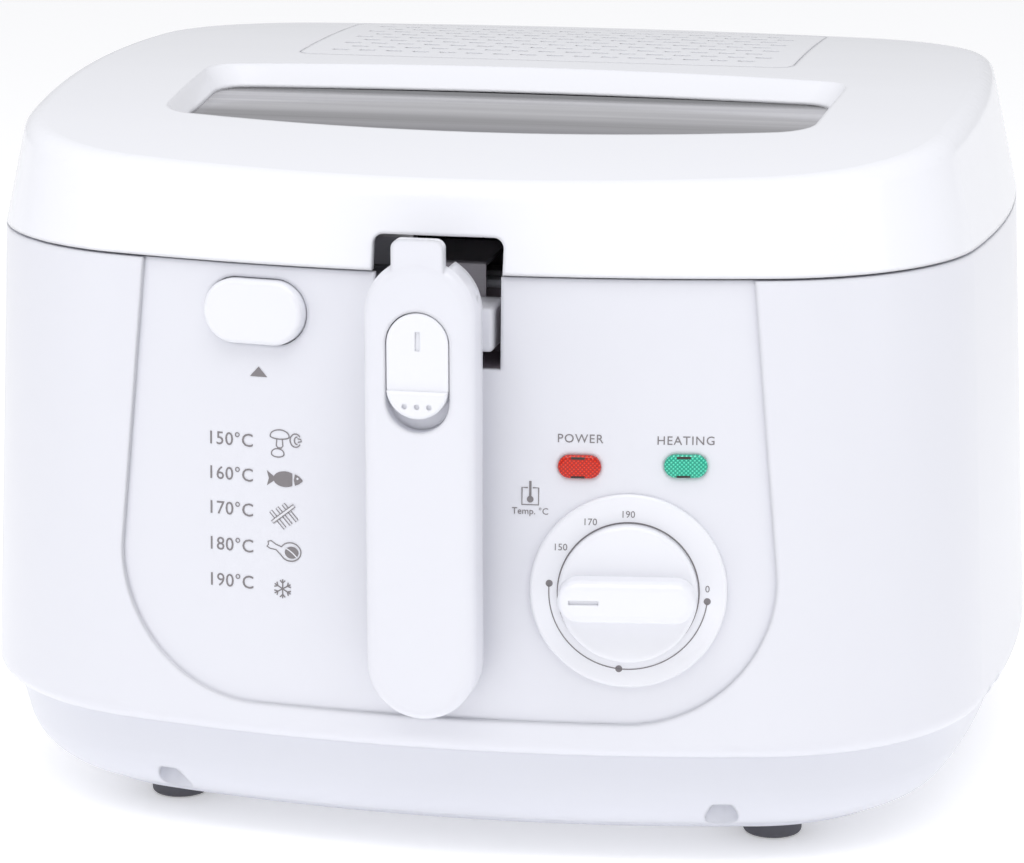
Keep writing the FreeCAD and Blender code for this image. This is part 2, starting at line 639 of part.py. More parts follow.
def make_lid():
    top_z = ARCH_Z + 10
    outer = body_loft((0, Z_LID), (-LID_LEAN * (top_z - Z_LID), top_z)).common(arch_solid())
    outer = fillet_where(outer, 7.0, lambda b: b.ZMin > 220)
    shell = outer.cut(lid_inside())
    # the well that carries the window: walls and a floor round the bevelled opening
    well = Part.Face(barrel_wire(WINDOW_TOP[0] + 3, WINDOW_TOP[1] - 3, WINDOW_TOP[2] + 3, 19, 15,
                                 226.0)).extrude(V(0, 0, 30))
    well = well.common(arch_solid(LID_WALL - 0.2))
    below = pane_place(box(-140, 140, -130, 60, -30, 0.0))
    shell = fuse([shell, well.cut(below)])
    bevel, shaft = window_cutter()
    filters = box(-FILTER_X, FILTER_X, FILTER_Y0, FILTER_Y1, 225, 260)
    filters = fillet_where(filters, 6.0, lambda b: b.ZLength > 10)
    notch = box(HANDLE_X - NOTCH_W / 2, HANDLE_X + NOTCH_W / 2, -160, -136, Z_LID - 2, NOTCH_Z1)
    notch = fillet_where(notch, 3.5, lambda b: b.ZMin > NOTCH_Z1 - 0.1 and b.YLength > 10)
    shell = cut(shell, [bevel, shaft, filters, notch])
    ledge = box(-FILTER_X - 2, FILTER_X + 2, FILTER_Y0 - 2, FILTER_Y1 + 2, 220, 250).cut(
        box(-FILTER_X + 3, FILTER_X - 3, FILTER_Y0 + 3, FILTER_Y1 - 3, 210, 260))
    ledge = ledge.common(arch_solid(LID_WALL - 0.1)).cut(arch_solid(LID_WALL + 2.4))
    web = box(-HINGE_HALF, HINGE_HALF, HALF_D - 4.0, HINGE_Y - 2, HINGE_Z + 6.5, HINGE_Z + 13)
    arm = box(-HINGE_HALF, HINGE_HALF, HINGE_Y - 4, HINGE_Y + 3, HINGE_Z, HINGE_Z + 13)
    barrel = cylinder(HINGE_R, 2 * HINGE_HALF, (-HINGE_HALF, HINGE_Y, HINGE_Z), X_AXIS)
    shell = fuse([shell, ledge, web, arm, barrel])
    posts = [cylinder(4.5, 60, (sx * 118, y, 207.0)) for sx in (-1, 1) for y in (-84, 88)]
    posts = [post.common(arch_solid(LID_WALL - 0.5)) for post in posts]
    shell = fuse([shell] + posts)
    bores = [cylinder(1.5, 14, (sx * 118, y, 206.0)) for sx in (-1, 1) for y in (-84, 88)]
    bores.append(cylinder(HINGE_PIN_R + RUNNING, 2 * HINGE_HALF + 2, (-HINGE_HALF - 1, HINGE_Y, HINGE_Z),
                          X_AXIS))
    return cut(shell, bores)


def make_inner_lid():
    """Flat metal plate under the lid with openings below the window and the filters."""
    plate = tub(POT_X + 8, POT_Y0 - 8, POT_Y1 + 8, POT_R + 8, 206.8, 205.3)
    window = box(-96, 96, -76, 2, 200, 210)
    filters = box(-80, 80, 36, 112, 200, 210)
    notch = box(HANDLE_X - 16, HANDLE_X + 16, -130, -86, 200, 210)
    screws = [cylinder(1.7, 10, (sx * 118, y, 200.0)) for sx in (-1, 1) for y in (-84, 88)]
    return cut(plate, [window, filters, notch] + screws)


def make_inner_lid_screws():
    screws = []
    for sx in (-1, 1):
        for y in (-84, 88):
            head = cylinder(3.2, 2.2, (sx * 118, y, 203.1))
            screws.append(fuse([head, cylinder(1.5, 12, (sx * 118, y, 205.2))]))
    return Part.makeCompound(screws)


def make_lid_seal():
    """Silicone lip that meets the pot's flange all round, open where the basket's bracket passes."""
    z0 = Z_DECK + DECK_T + 0.8 + FLANGE_T + 0.1
    ring = tub(POT_X + 7, POT_Y0 - 7, POT_Y1 + 7, POT_R + 7, 205.2, z0)
    ring = ring.cut(tub(POT_X + 2, POT_Y0 - 2, POT_Y1 + 2, POT_R + 2, 206, z0 - 1))
    return ring.cut(box(HANDLE_X - 16, HANDLE_X + 16, -130, -86, z0 - 1, 207))


def make_lid_catch():
    """Hook on the lid that the latch holds; it hangs into the housing behind the button."""
    x0, x1 = BUTTON_AT[0] - 4, BUTTON_AT[0] + 6
    stem = box(x0, x1, -133.9, -131.9, 187, 216)
    nose = box(x0, x1, -133.9, -130.6, 187, 190)
    foot = box(x0, x1, -146.0, -131.9, 208, 216).common(lid_inside())
    return fuse([stem, nose, foot])


def make_filter_tray():
    x, y0, y1 = FILTER_X - 4, FILTER_Y0 + 4, FILTER_Y1 - 4
    tray = box(-x, x, y0, y1, 206.9, 238).cut(box(-x + 1.5, x - 1.5, y0 + 1.5, y1 - 1.5, 208.4, 240))
    slots = [box(-x + 8, x - 8, y, y + 5, 206, 209) for y in range(40, 108, 10)]
    return cut(tray, slots)


def make_filter_mat(z0, z1):
    x, y0, y1 = FILTER_X - 6.5, FILTER_Y0 + 6.5, FILTER_Y1 - 6.5
    return box(-x, x, y0, y1, z0, z1)


def make_filter_cover():
    """Arched flap over the filters with rows of short slots; it turns up about its rear edge."""
    plate = box(-FILTER_X + GAP, FILTER_X - GAP, FILTER_Y0 + GAP, FILTER_Y1 - GAP, 225, 260)
    plate = fillet_where(plate, 5.7, lambda b: b.ZLength > 10)
    plate = plate.common(arch_solid()).cut(arch_solid(2.4))
    slots = []
    for row in range(9):
        shift = 5.0 if row % 2 else 0.0
        for column in range(-8, 8):
            x = column * 10.0 + shift
            y = FILTER_Y0 + 12 + row * 9.0
            slots.append(box(x - 0.2, x + 5.4, y - 0.9, y + 0.9, 225, 260))
    return plate.cut(Part.makeCompound(slots))


def make_hinge_pin():
    return cylinder(HINGE_PIN_R, 2 * (HINGE_HALF + LUG_T) + 0.8,
                    (-HINGE_HALF - LUG_T - 0.4, HINGE_Y, HINGE_Z), X_AXIS)


# ---------------------------------------------------------------- basket and handle
def make_basket():
    """The basket's mesh as a thin open-topped tub."""
    outer = tub(BASKET_X, BASKET_Y0, BASKET_Y1, 34, BASKET_TOP, BASKET_FLOOR, 5)
    inner = tub(BASKET_X - 1.2, BASKET_Y0 + 1.2, BASKET_Y1 - 1.2, 32.8, BASKET_TOP + 0.1,
                BASKET_FLOOR + 1.2, 5)
    return outer.cut(inner)


def make_basket_rim():
    """Thick wire round the basket's mouth."""
    r = 1.8
    z = BASKET_TOP + r
    path = rounded(-BASKET_X + 0.6, BASKET_X - 0.6, BASKET_Y0 + 0.6, BASKET_Y1 - 0.6, 33.4, z)
    section = Part.Wire(Part.makeCircle(r, V(BASKET_X - 34.0, BASKET_Y0 + 0.6, z), X_AXIS))
    return path.makePipeShell([section], True, True)


def make_bracket():
    """Steel strip from the basket's rim, over the pot's edge and down into the slot."""
    t = 1.5
    x0, x1 = HANDLE_X - BRACKET_X, HANDLE_X + BRACKET_X
    inner_y = BASKET_Y0 - 1.4
    strip = [box(x0, x1, inner_y - t, inner_y, 150, 201.5),
             box(x0, x1, -130.0, inner_y, 200, 200 + t),
             box(x0, x1, -130.0, -130.0 + t, 176.5, 201.5)]
    shape = fuse(strip)
    shape = fillet_where(shape, 1.4, lambda b: b.ZMin > 201.4 and b.XLength > 20 and b.YLength < 0.1)
    return cut(shape, [cylinder(1.5, 6, (HANDLE_X + x, -133, 183), Y_AXIS) for x in (-7, 7)])


def make_bracket_rivets():
    rivets = []
    for x in (-7, 7):
        head = cylinder(2.6, 1.2, (HANDLE_X + x, -128.5, 183), Y_AXIS)
        rivets.append(fuse([head, cylinder(1.5, 6.5, (HANDLE_X + x, -135.0, 183), Y_AXIS)]))
    return Part.makeCompound(rivets)


def make_hinge_block():
    """Moulded block that runs in the slot and carries the handle's pin on an arm."""
    block = box(HANDLE_X - BLOCK_X, HANDLE_X + BLOCK_X, -149.5, -130.0, 176.0, 190.0)
    block = fillet_where(block, 1.2, lambda b: b.YLength > 10)
    half = 8.8
    arm = Part.Face(Part.makePolygon([V(HANDLE_X - half, -140, 178), V(HANDLE_X - half, -151, 178),
                                      V(HANDLE_X - half, PIVOT_Y - 4.2, PIVOT_Z - 2.7),
                                      V(HANDLE_X - half, PIVOT_Y + 2.0, PIVOT_Z + 4.6),
                                      V(HANDLE_X - half, -149, 190), V(HANDLE_X - half, -140, 190),
                                      V(HANDLE_X - half, -140, 178)])).extrude(V(2 * half, 0, 0))
    eye = cylinder(5.0, 2 * half, (HANDLE_X - half, PIVOT_Y, PIVOT_Z), X_AXIS)
    bores = [cylinder(PIN_R + RUNNING, 40, (HANDLE_X - 20, PIVOT_Y, PIVOT_Z), X_AXIS)]
    bores += [cylinder(1.5, 6, (HANDLE_X + x, -135, 183), Y_AXIS) for x in (-7, 7)]
    return cut(fuse([block, arm, eye]), bores)


def handle_slab(depth0, depth1, inset=0.0):
    mid = (HANDLE_Z0 + HANDLE_Z1) / 2
    return stadium(HANDLE_W - 2 * inset, HANDLE_Z1 - HANDLE_Z0 - 2 * inset, depth0, depth1,
                   (HANDLE_X, mid))


def hinge_pocket():
    """Space in the handle for the block's arm, open at the back and at the top."""
    return box(HANDLE_X - 9.2, HANDLE_X + 9.2, -171.6, -150, 187.0, 230)


def make_handle():
    """Front of the handle: a crowned stadium with the tab on top and the sunk track."""
    front = handle_slab(HANDLE_FACE, -163.0)
    front = fillet_where(front, 4.0, lambda b: b.YMax < HANDLE_FACE + 0.01)
    tab = box(HANDLE_X - TAB_W / 2, HANDLE_X + TAB_W / 2, -175.4, -171.8, 200, TAB_Z1)
    tab = fillet_where(tab, 3.0, lambda b: b.ZMin > TAB_Z1 - 0.1 and b.YLength > 1)
    tab = tab.cut(stadium(RECESS_W, RECESS_Z1 - RECESS_Z0, -180, -171, (HANDLE_X, 174)))
    front = fuse([front, tab])
    mid = (RECESS_Z0 + RECESS_Z1) / 2
    track = stadium(RECESS_W, RECESS_Z1 - RECESS_Z0, -180, -171.0, (HANDLE_X, mid))
    upper = box(HANDLE_X - 14, HANDLE_X + 14, -169.2, -160, 148, 184)
    lower = handle_slab(-173.2, -160, 2.6).common(box(-40, 40, -190, -150, 40, 150))
    slit = box(HANDLE_X - 2.2, HANDLE_X + 2.2, -175, -168, 160, 182)
    pin = cylinder(PIN_R, 34, (HANDLE_X - 17, PIVOT_Y, PIVOT_Z), X_AXIS)
    screws = [cylinder(1.4, 9, (HANDLE_X, -172, z), Y_AXIS) for z in (72, 142)]
    posts = [cylinder(3.5, 11.0, (HANDLE_X, -174.0, z), Y_AXIS) for z in (72, 142)]
    body = cut(front, [track, upper, lower, slit, hinge_pocket()])
    return cut(fuse([body] + posts), [pin] + screws)


def make_handle_back():
    plate = handle_slab(-163.0, HANDLE_BACK)
    plate = fillet_where(plate, 1.2, lambda b: b.YMin > HANDLE_BACK - 0.01)
    screws = [cylinder(1.7, 6, (HANDLE_X, -164, z), Y_AXIS) for z in (72, 142)]
    sinks = [cylinder(3.1, 2, (HANDLE_X, HANDLE_BACK - 1.2, z), Y_AXIS) for z in (72, 142)]
    return cut(plate, [hinge_pocket(), box(HANDLE_X - 9.2, HANDLE_X + 9.2, -164, -160, 183, 230)]
               + screws + sinks)


def make_handle_screws():
    screws = []
    for z in (72, 142):
        head = cylinder(2.9, 1.0, (HANDLE_X, HANDLE_BACK - 1.1, z), Y_AXIS)
        screws.append(fuse([head, cylinder(1.4, 7.0, (HANDLE_X, HANDLE_BACK - 8.0, z), Y_AXIS)]))
    return Part.makeCompound(screws)


def make_handle_pin():
    return cylinder(PIN_R, 33.0, (HANDLE_X - 16.5, PIVOT_Y, PIVOT_Z), X_AXIS)


def make_slide_button():
    """Thumb slide: flat at the top with a marker groove, thicker at its lower end."""
    mid = RECESS_Z1 - GAP - SLIDE_H / 2
    slide = stadium(RECESS_W - 2 * GAP, SLIDE_H, -175.8, -171.3, (HANDLE_X, mid))
    grip = slide.common(box(-40, 40, -180, -170, 150, 168))
    grip.translate(V(0, GRIP_FACE + 175.8, 0))
    grip = fillet_where(grip, 1.0, lambda b: b.YMax < GRIP_FACE + 0.01)
    stem = box(HANDLE_X - 1.9, HANDLE_X + 1.9, -171.4, -168.9, 170, 181)
    groove = box(HANDLE_X - 0.7, HANDLE_X + 0.7, -177, -175.2, 181, 187)
    dots = [cylinder(0.8, 1.4, (HANDLE_X + x, -178, 163.2), Y_AXIS) for x in (-4, 0, 4)]
    return cut(fuse([slide, grip, stem]), [groove] + dots)


def make_lock_bolt():
    """Steel bolt behind the slide that pins the handle when it is up."""
    return box(HANDLE_X - 5, HANDLE_X + 5, -168.9, -166.9, 165, 181.5)


def make_lock_spring():
    """Spring under the bolt, drawn as a sleeve."""
    spring = cylinder(2.6, 9.0, (HANDLE_X, -166.0, 155.8))
    return spring.cut(cylinder(1.8, 10, (HANDLE_X, -166.0, 155.0)))


# ---------------------------------------------------------------- all parts
def build():
    parts = {
        "housing": make_housing(),
        "base": make_base(),
        "base_screws": make_base_screws(),
        "slot_liner": make_slot_liner(),
        "cord_gland": make_cord_gland(),
        "inner_pot": make_pot(),
        "pot_gasket": make_pot_gasket(),
        "heating_element": make_element(),
        "element_clamps": make_element_clamps(),
        "heat_shield": make_heat_shield(),
        "thermostat_body": make_thermostat(),
        "thermostat_nut": make_thermostat_nut(),
        "thermostat_shaft": make_thermostat_shaft(),
        "sensor_bulb": make_sensor(),
        "safety_cutout": make_safety_cutout(),
        "terminal_block": make_terminal_block(),
        "internal_leads": make_leads(),
        "dial_ring": make_dial(),
        "knob": make_knob(),
        "power_lens": make_lens(RED_AT),
        "heating_lens": make_lens(GREEN_AT),
        "power_neon": make_neon(RED_AT),
        "heating_neon": make_neon(GREEN_AT),
        "release_button": make_release_button(),
        "release_spring": make_release_spring(),
        "latch_lever": make_latch_lever(),
        "latch_pin": make_latch_pin(),
        "latch_bracket": make_latch_bracket(),
        "hinge_pin": make_hinge_pin(),
        "lid_shell": make_lid(),
        "window_pane": make_pane(),
        "window_gasket": make_window_gasket(),
        "inner_lid": make_inner_lid(),
        "inner_lid_screws": make_inner_lid_screws(),
        "lid_seal": make_lid_seal(),
        "lid_catch": make_lid_catch(),
        "filter_tray": make_filter_tray(),
        "grease_filter": make_filter_mat(208.6, 213.0),
        "charcoal_filter": make_filter_mat(213.2, 223.0),
        "filter_cover": make_filter_cover(),
        "basket_mesh": make_basket(),
        "basket_rim": make_basket_rim(),
        "basket_bracket": make_bracket(),
        "bracket_rivets": make_bracket_rivets(),
        "hinge_block": make_hinge_block(),
        "handle_front": make_handle(),
        "handle_back": make_handle_back(),
        "handle_screws": make_handle_screws(),
        "handle_pin": make_handle_pin(),
        "slide_button": make_slide_button(),
        "lock_bolt": make_lock_bolt(),
        "lock_spring": make_lock_spring(),
    }
    for name, sx, sy in (("foot_front_left", -1, -1), ("foot_front_right", 1, -1),
                         ("foot_rear_left", -1, 1), ("foot_rear_right", 1, 1)):
        parts[name] = make_foot(sx, sy)
    return parts


def main():
    os.makedirs("parts", exist_ok=True)
    for name, shape in build().items():
        shape.translate(V(0, SHIFT_Y, 0))
        shape.exportStep(os.path.join("parts", name + ".step"))
        print(f"{name}: {len(shape.Solids)} solid, {shape.Volume / 1000:.1f} cm3, valid {shape.isValid()}")
    knob = front_place(KNOB_AT)
    button = front_place(BUTTON_AT)
    print("moved by", SHIFT_Y)
    print("knob axis", knob.Base, knob.Rotation.multVec(Y_AXIS))
    print("button axis", button.Base, button.Rotation.multVec(Y_AXIS))
    print("filter cover axis", COVER_Y, COVER_Z)


main()
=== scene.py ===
# %% [markdown]
# # A deep fryer, piece by piece
# The engineering model gives every rigid part at its true size: shells, lid, pot, basket,
# handle, lamps. This script keeps those parts where they are and gives them their looks.
# It adds what the engineering model leaves plain: printed marks, a real wire basket and
# coil springs. Loading the frame first means that most places can be read from it, and only
# the control panel's curve and a few places on it have to be written again here.

# %% Load the frame
import math

import bmesh
import bpy
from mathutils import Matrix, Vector


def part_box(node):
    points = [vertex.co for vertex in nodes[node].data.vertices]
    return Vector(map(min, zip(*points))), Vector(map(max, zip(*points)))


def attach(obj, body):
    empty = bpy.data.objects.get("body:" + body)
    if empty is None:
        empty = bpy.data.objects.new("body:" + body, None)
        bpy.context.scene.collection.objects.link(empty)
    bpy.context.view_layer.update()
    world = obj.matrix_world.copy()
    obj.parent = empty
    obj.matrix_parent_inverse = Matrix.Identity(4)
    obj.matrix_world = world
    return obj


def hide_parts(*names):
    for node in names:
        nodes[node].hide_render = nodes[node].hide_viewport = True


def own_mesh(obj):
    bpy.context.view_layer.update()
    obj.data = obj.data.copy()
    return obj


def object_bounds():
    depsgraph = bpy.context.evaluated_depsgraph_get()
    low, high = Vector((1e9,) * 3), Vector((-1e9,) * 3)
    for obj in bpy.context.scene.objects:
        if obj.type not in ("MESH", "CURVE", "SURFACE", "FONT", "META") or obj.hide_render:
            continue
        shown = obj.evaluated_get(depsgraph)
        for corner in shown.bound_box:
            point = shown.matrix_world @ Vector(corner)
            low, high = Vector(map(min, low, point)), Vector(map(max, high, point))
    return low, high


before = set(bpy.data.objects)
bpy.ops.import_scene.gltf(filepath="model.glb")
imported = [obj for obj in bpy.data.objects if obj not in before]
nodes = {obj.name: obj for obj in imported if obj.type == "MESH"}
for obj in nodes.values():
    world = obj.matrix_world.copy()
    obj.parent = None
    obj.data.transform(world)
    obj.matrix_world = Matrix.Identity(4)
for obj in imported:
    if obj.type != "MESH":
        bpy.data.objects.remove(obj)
cad_low, cad_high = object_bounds()
print("pieces in the frame:", len(nodes))
print("box in metres:", [round(v, 4) for v in cad_high - cad_low])

# %% [markdown]
# ## Shared effects as node groups
# One shader effect is wanted on many parts, such as the fine grain that a mould leaves. It
# could be copied into each material, but then a change means many edits. A node group is
# built once and placed wherever it is needed. Each group here puts out only masks and
# heights, so the shader itself stays in the material.

# %% A helper that starts a node group
def start_group(name, inputs, outputs):
    """A new shader group with float inputs (name, default) and float outputs."""
    group = bpy.data.node_groups.new(name, "ShaderNodeTree")
    for label, default in inputs:
        socket = group.interface.new_socket(label, in_out="INPUT", socket_type="NodeSocketFloat")
        socket.default_value = default
    for label in outputs:
        group.interface.new_socket(label, in_out="OUTPUT", socket_type="NodeSocketFloat")
    return group, group.nodes.new("NodeGroupInput"), group.nodes.new("NodeGroupOutput")


def add_node(tree, kind, **settings):
    """A node of one kind, with its properties set."""
    node = tree.nodes.new(kind)
    for key, value in settings.items():
        setattr(node, key, value)
    return node


def noise(tree, scale, detail=2.0, vector=None):
    """A noise texture in object space, so that it stays with the part."""
    texture = add_node(tree, "ShaderNodeTexNoise")
    texture.inputs["Detail"].default_value = detail
    if isinstance(scale, (int, float)):
        texture.inputs["Scale"].default_value = scale
    else:
        tree.links.new(scale, texture.inputs["Scale"])
    if vector is None:
        vector = add_node(tree, "ShaderNodeTexCoord").outputs["Object"]
    tree.links.new(vector, texture.inputs["Vector"])
    return texture.outputs["Fac"]


print("group helpers ready")

# %% [markdown]
# ## Moulded grain, kitchen haze and brushing
# Moulded plastic has a grain that is felt more than seen, and months in a kitchen leave a
# soft haze in its gloss. A scanned image could supply both, but noise in metres
# works at any distance. The grain is finer than a millimetre; the haze drifts over
# centimetres. Brushed metal is the same noise, stretched ninety times along the brushing.

# %% Moulded grain and haze
grain_group, grain_in, grain_out = start_group(
    "moulded_grain", [("Grain Scale", 2600.0), ("Haze Scale", 14.0)], ["Height", "Haze"])
fine = noise(grain_group, grain_in.outputs["Grain Scale"], 3.0)
drift = noise(grain_group, grain_in.outputs["Haze Scale"], 4.0)
spread = add_node(grain_group, "ShaderNodeMapRange")
spread.inputs["From Min"].default_value = 0.15
spread.inputs["From Max"].default_value = 0.85
grain_group.links.new(drift, spread.inputs["Value"])
grain_group.links.new(fine, grain_out.inputs["Height"])
grain_group.links.new(spread.outputs["Result"], grain_out.inputs["Haze"])
print("built", grain_group.name)

# %% Brushed streaks
brush_group, brush_in, brush_out = start_group(
    "brushed_streaks", [("Along X", 20.0), ("Along Y", 1800.0), ("Along Z", 1800.0)], ["Height", "Streak"])
stretch = add_node(brush_group, "ShaderNodeCombineXYZ")
for axis in "XYZ":
    brush_group.links.new(brush_in.outputs["Along " + axis], stretch.inputs[axis])
place = add_node(brush_group, "ShaderNodeVectorMath", operation="MULTIPLY")
where = add_node(brush_group, "ShaderNodeTexCoord")
brush_group.links.new(where.outputs["Object"], place.inputs[0])
brush_group.links.new(stretch.outputs["Vector"], place.inputs[1])
streaks = noise(brush_group, 1.0, 5.0, place.outputs["Vector"])
brush_group.links.new(streaks, brush_out.inputs["Height"])
brush_group.links.new(streaks, brush_out.inputs["Streak"])
print("built", brush_group.name)

# %% Flecks for dust, felt and carbon
fleck_group, fleck_in, fleck_out = start_group(
    "flecks", [("Scale", 900.0), ("Amount", 0.5)], ["Mask", "Height"])
speck = add_node(fleck_group, "ShaderNodeTexVoronoi")
fleck_where = add_node(fleck_group, "ShaderNodeTexCoord")
fleck_group.links.new(fleck_where.outputs["Object"], speck.inputs["Vector"])
fleck_group.links.new(fleck_in.outputs["Scale"], speck.inputs["Scale"])
below = add_node(fleck_group, "ShaderNodeMath", operation="LESS_THAN")
fleck_group.links.new(speck.outputs["Distance"], below.inputs[0])
fleck_group.links.new(fleck_in.outputs["Amount"], below.inputs[1])
fleck_group.links.new(below.outputs["Value"], fleck_out.inputs["Mask"])
fleck_group.links.new(speck.outputs["Distance"], fleck_out.inputs["Height"])
print("built", fleck_group.name)

# %% [markdown]
# ## Building a material
# Each finish is a Principled BSDF whose colour and roughness wander a little under a mask,
# and whose normal comes from a bump. Hard shells also get a Bevel node: it rounds the
# shading of every crisp edge by a millimetre or two, as a mould does, so edges catch light.
# Cutting that rounding into the mesh would cost many faces for no visible gain.

# %% The material helper
def finish(name, colour, second, rough, group=grain_group, mask="Haze", values=None,
           strength=0.08, depth=0.00005, edge=0.0, shader=None):
    """A Principled material: two tints and two roughness values mixed by a group's mask.

    The group's Height makes the bump. A finish with an edge radius gets a Bevel node.
    """
    material = bpy.data.materials.new(name)
    material.use_nodes = True
    tree = material.node_tree
    surface = tree.nodes["Principled BSDF"]
    effect = add_node(tree, "ShaderNodeGroup")
    effect.node_tree = group
    for label, value in (values or {}).items():
        effect.inputs[label].default_value = value
    share = effect.outputs[mask]
    tint = add_node(tree, "ShaderNodeMix", data_type="RGBA")
    tint.inputs["A"].default_value = (*colour, 1.0)
    tint.inputs["B"].default_value = (*second, 1.0)
    tree.links.new(share, tint.inputs["Factor"])
    tree.links.new(tint.outputs["Result"], surface.inputs["Base Color"])
    gloss = add_node(tree, "ShaderNodeMapRange")
    gloss.inputs["To Min"].default_value = rough[0]
    gloss.inputs["To Max"].default_value = rough[1]
    tree.links.new(share, gloss.inputs["Value"])
    tree.links.new(gloss.outputs["Result"], surface.inputs["Roughness"])
    bump = add_node(tree, "ShaderNodeBump")
    bump.inputs["Strength"].default_value = strength
    bump.inputs["Distance"].default_value = depth
    tree.links.new(effect.outputs["Height"], bump.inputs["Height"])
    if edge:
        bevel = add_node(tree, "ShaderNodeBevel", samples=4)
        bevel.inputs["Radius"].default_value = edge
        tree.links.new(bevel.outputs["Normal"], bump.inputs["Normal"])
    tree.links.new(bump.outputs["Normal"], surface.inputs["Normal"])
    for label, value in (shader or {}).items():
        surface.inputs[label].default_value = value
    return material


def dress(material, *names):
    """Gives a material to CAD nodes."""
    for name in names:
        mesh = nodes[name].data
        mesh.materials.clear()
        mesh.materials.append(material)
    print(material.name, "on", len(names), "parts")


# %% [markdown]
# ## White shells
# The fryer's casing is one family of satin white plastic with a cool cast. The lid, body
# and handle come from different moulds, so each gets its own gloss and a slightly different
# tint. A thin coat gives the sharp highlight that sits on top of the soft one.

# %% White plastics
body_white = finish("body_white", (0.745, 0.75, 0.805), (0.74, 0.745, 0.80), (0.28, 0.30),
                    edge=0.0022, shader={"Coat Weight": 0.3, "Coat Roughness": 0.1})
# The base's white is darker than the body's: painted shade from under the body's overhang.
base_white_painted_shade = finish("base_white_painted_shade", (0.69, 0.70, 0.76), (0.685, 0.695, 0.755), (0.29, 0.32),
                    edge=0.0016, shader={"Coat Weight": 0.25, "Coat Roughness": 0.12})
lid_white = finish("lid_white", (0.875, 0.88, 0.925), (0.87, 0.875, 0.92), (0.23, 0.25),
                   edge=0.0020, shader={"Coat Weight": 0.4, "Coat Roughness": 0.06})
control_white = finish("control_white", (0.82, 0.825, 0.87), (0.815, 0.82, 0.865), (0.27, 0.30),
                       edge=0.0008, shader={"Coat Weight": 0.2, "Coat Roughness": 0.12})
handle_white = finish("handle_white", (0.755, 0.76, 0.815), (0.75, 0.755, 0.81), (0.27, 0.29),
                      edge=0.0022, shader={"Coat Weight": 0.3, "Coat Roughness": 0.1})
dress(body_white, "housing")
dress(base_white_painted_shade, "base")
dress(lid_white, "lid_shell", "filter_cover")
dress(control_white, "knob", "dial_ring", "release_button", "slide_button")
dress(handle_white, "handle_front", "handle_back", "hinge_block")

# %% [markdown]
# ## Darker plastics and rubber
# What is hidden or soft is darker: the liner of the handle's slot, the latch, the feet and
# the seals. These are matt, and their grain is deeper, because such parts come from rougher
# tools. Silicone is paler and has a faint sheen.

# %% Dark plastics, rubber and silicone
slot_grey = finish("slot_grey", (0.30, 0.255, 0.295), (0.27, 0.23, 0.265), (0.42, 0.5), strength=0.15)
inner_grey = finish("inner_grey", (0.42, 0.42, 0.46), (0.38, 0.38, 0.42), (0.38, 0.5), strength=0.15,
                    edge=0.0005)
foot_rubber = finish("foot_rubber", (0.085, 0.085, 0.10), (0.11, 0.11, 0.125), (0.6, 0.8),
                     values={"Grain Scale": 1500.0}, strength=0.35)
seal_silicone = finish("seal_silicone", (0.50, 0.50, 0.53), (0.46, 0.46, 0.49), (0.45, 0.6),
                       strength=0.2, shader={"Sheen Weight": 0.2})
lead_sleeve = finish("lead_sleeve", (0.10, 0.14, 0.32), (0.13, 0.17, 0.36), (0.4, 0.55), strength=0.2)
dress(slot_grey, "slot_liner", "thermostat_body", "terminal_block")
dress(inner_grey, "lid_catch", "latch_lever", "filter_tray")
dress(foot_rubber, "foot_front_left", "foot_front_right", "foot_rear_left", "foot_rear_right",
      "cord_gland", "window_gasket")
dress(seal_silicone, "lid_seal", "pot_gasket")
dress(lead_sleeve, "internal_leads")

# %% [markdown]
# ## Metals
# The pot is coated aluminium with a speckle in the coating. The inner lid, bracket and pins
# are brushed steel. The heater has been red hot, so it is brown-black. A bare metal is a
# Principled BSDF with Metallic at or near 1: its base colour is then the colour of its
# reflection. The pot's coating is only partly metallic, as a thin dark film over metal is.

# %% Metals
plain_steel = finish("plain_steel", (0.60, 0.59, 0.60), (0.70, 0.69, 0.70), (0.22, 0.42), group=brush_group,
                     mask="Streak", strength=0.12, shader={"Metallic": 1.0})
pot_coating = finish("pot_coating", (0.20, 0.20, 0.215), (0.33, 0.33, 0.35), (0.32, 0.42), group=fleck_group,
                     mask="Mask", values={"Scale": 1400.0, "Amount": 0.18}, strength=0.1,
                     shader={"Metallic": 0.6})
rolled_aluminium = finish("rolled_aluminium", (0.66, 0.66, 0.68), (0.74, 0.74, 0.76), (0.3, 0.45),
                          group=brush_group, mask="Streak", strength=0.1, shader={"Metallic": 1.0})
burnt_steel = finish("burnt_steel", (0.12, 0.095, 0.085), (0.20, 0.15, 0.12), (0.4, 0.6), strength=0.3,
                     shader={"Metallic": 0.9})
dark_plate = finish("dark_plate", (0.26, 0.245, 0.26), (0.34, 0.325, 0.34), (0.3, 0.45), group=brush_group,
                    mask="Streak", strength=0.12, shader={"Metallic": 0.9})
plated_wire = finish("plated_wire", (0.74, 0.74, 0.77), (0.68, 0.68, 0.71), (0.12, 0.22), strength=0.05,
                     shader={"Metallic": 1.0})
turned_brass = finish("turned_brass", (0.66, 0.47, 0.20), (0.58, 0.40, 0.17), (0.25, 0.4), strength=0.1,
                      shader={"Metallic": 1.0})
dress(plain_steel, "base_screws", "element_clamps", "thermostat_shaft", "latch_pin", "latch_bracket",
      "hinge_pin", "inner_lid", "inner_lid_screws", "handle_screws", "handle_pin", "lock_bolt")
dress(dark_plate, "basket_bracket", "bracket_rivets")
dress(pot_coating, "inner_pot")
dress(rolled_aluminium, "heat_shield", "safety_cutout")
dress(burnt_steel, "heating_element")
dress(plated_wire, "basket_rim")
dress(turned_brass, "thermostat_nut", "sensor_bulb")

# %% [markdown]
# ## Felt filters
# One felt mat catches grease and another holds carbon. Felt has no gloss, and a
# voronoi texture gives it the small pits of pressed fibre.

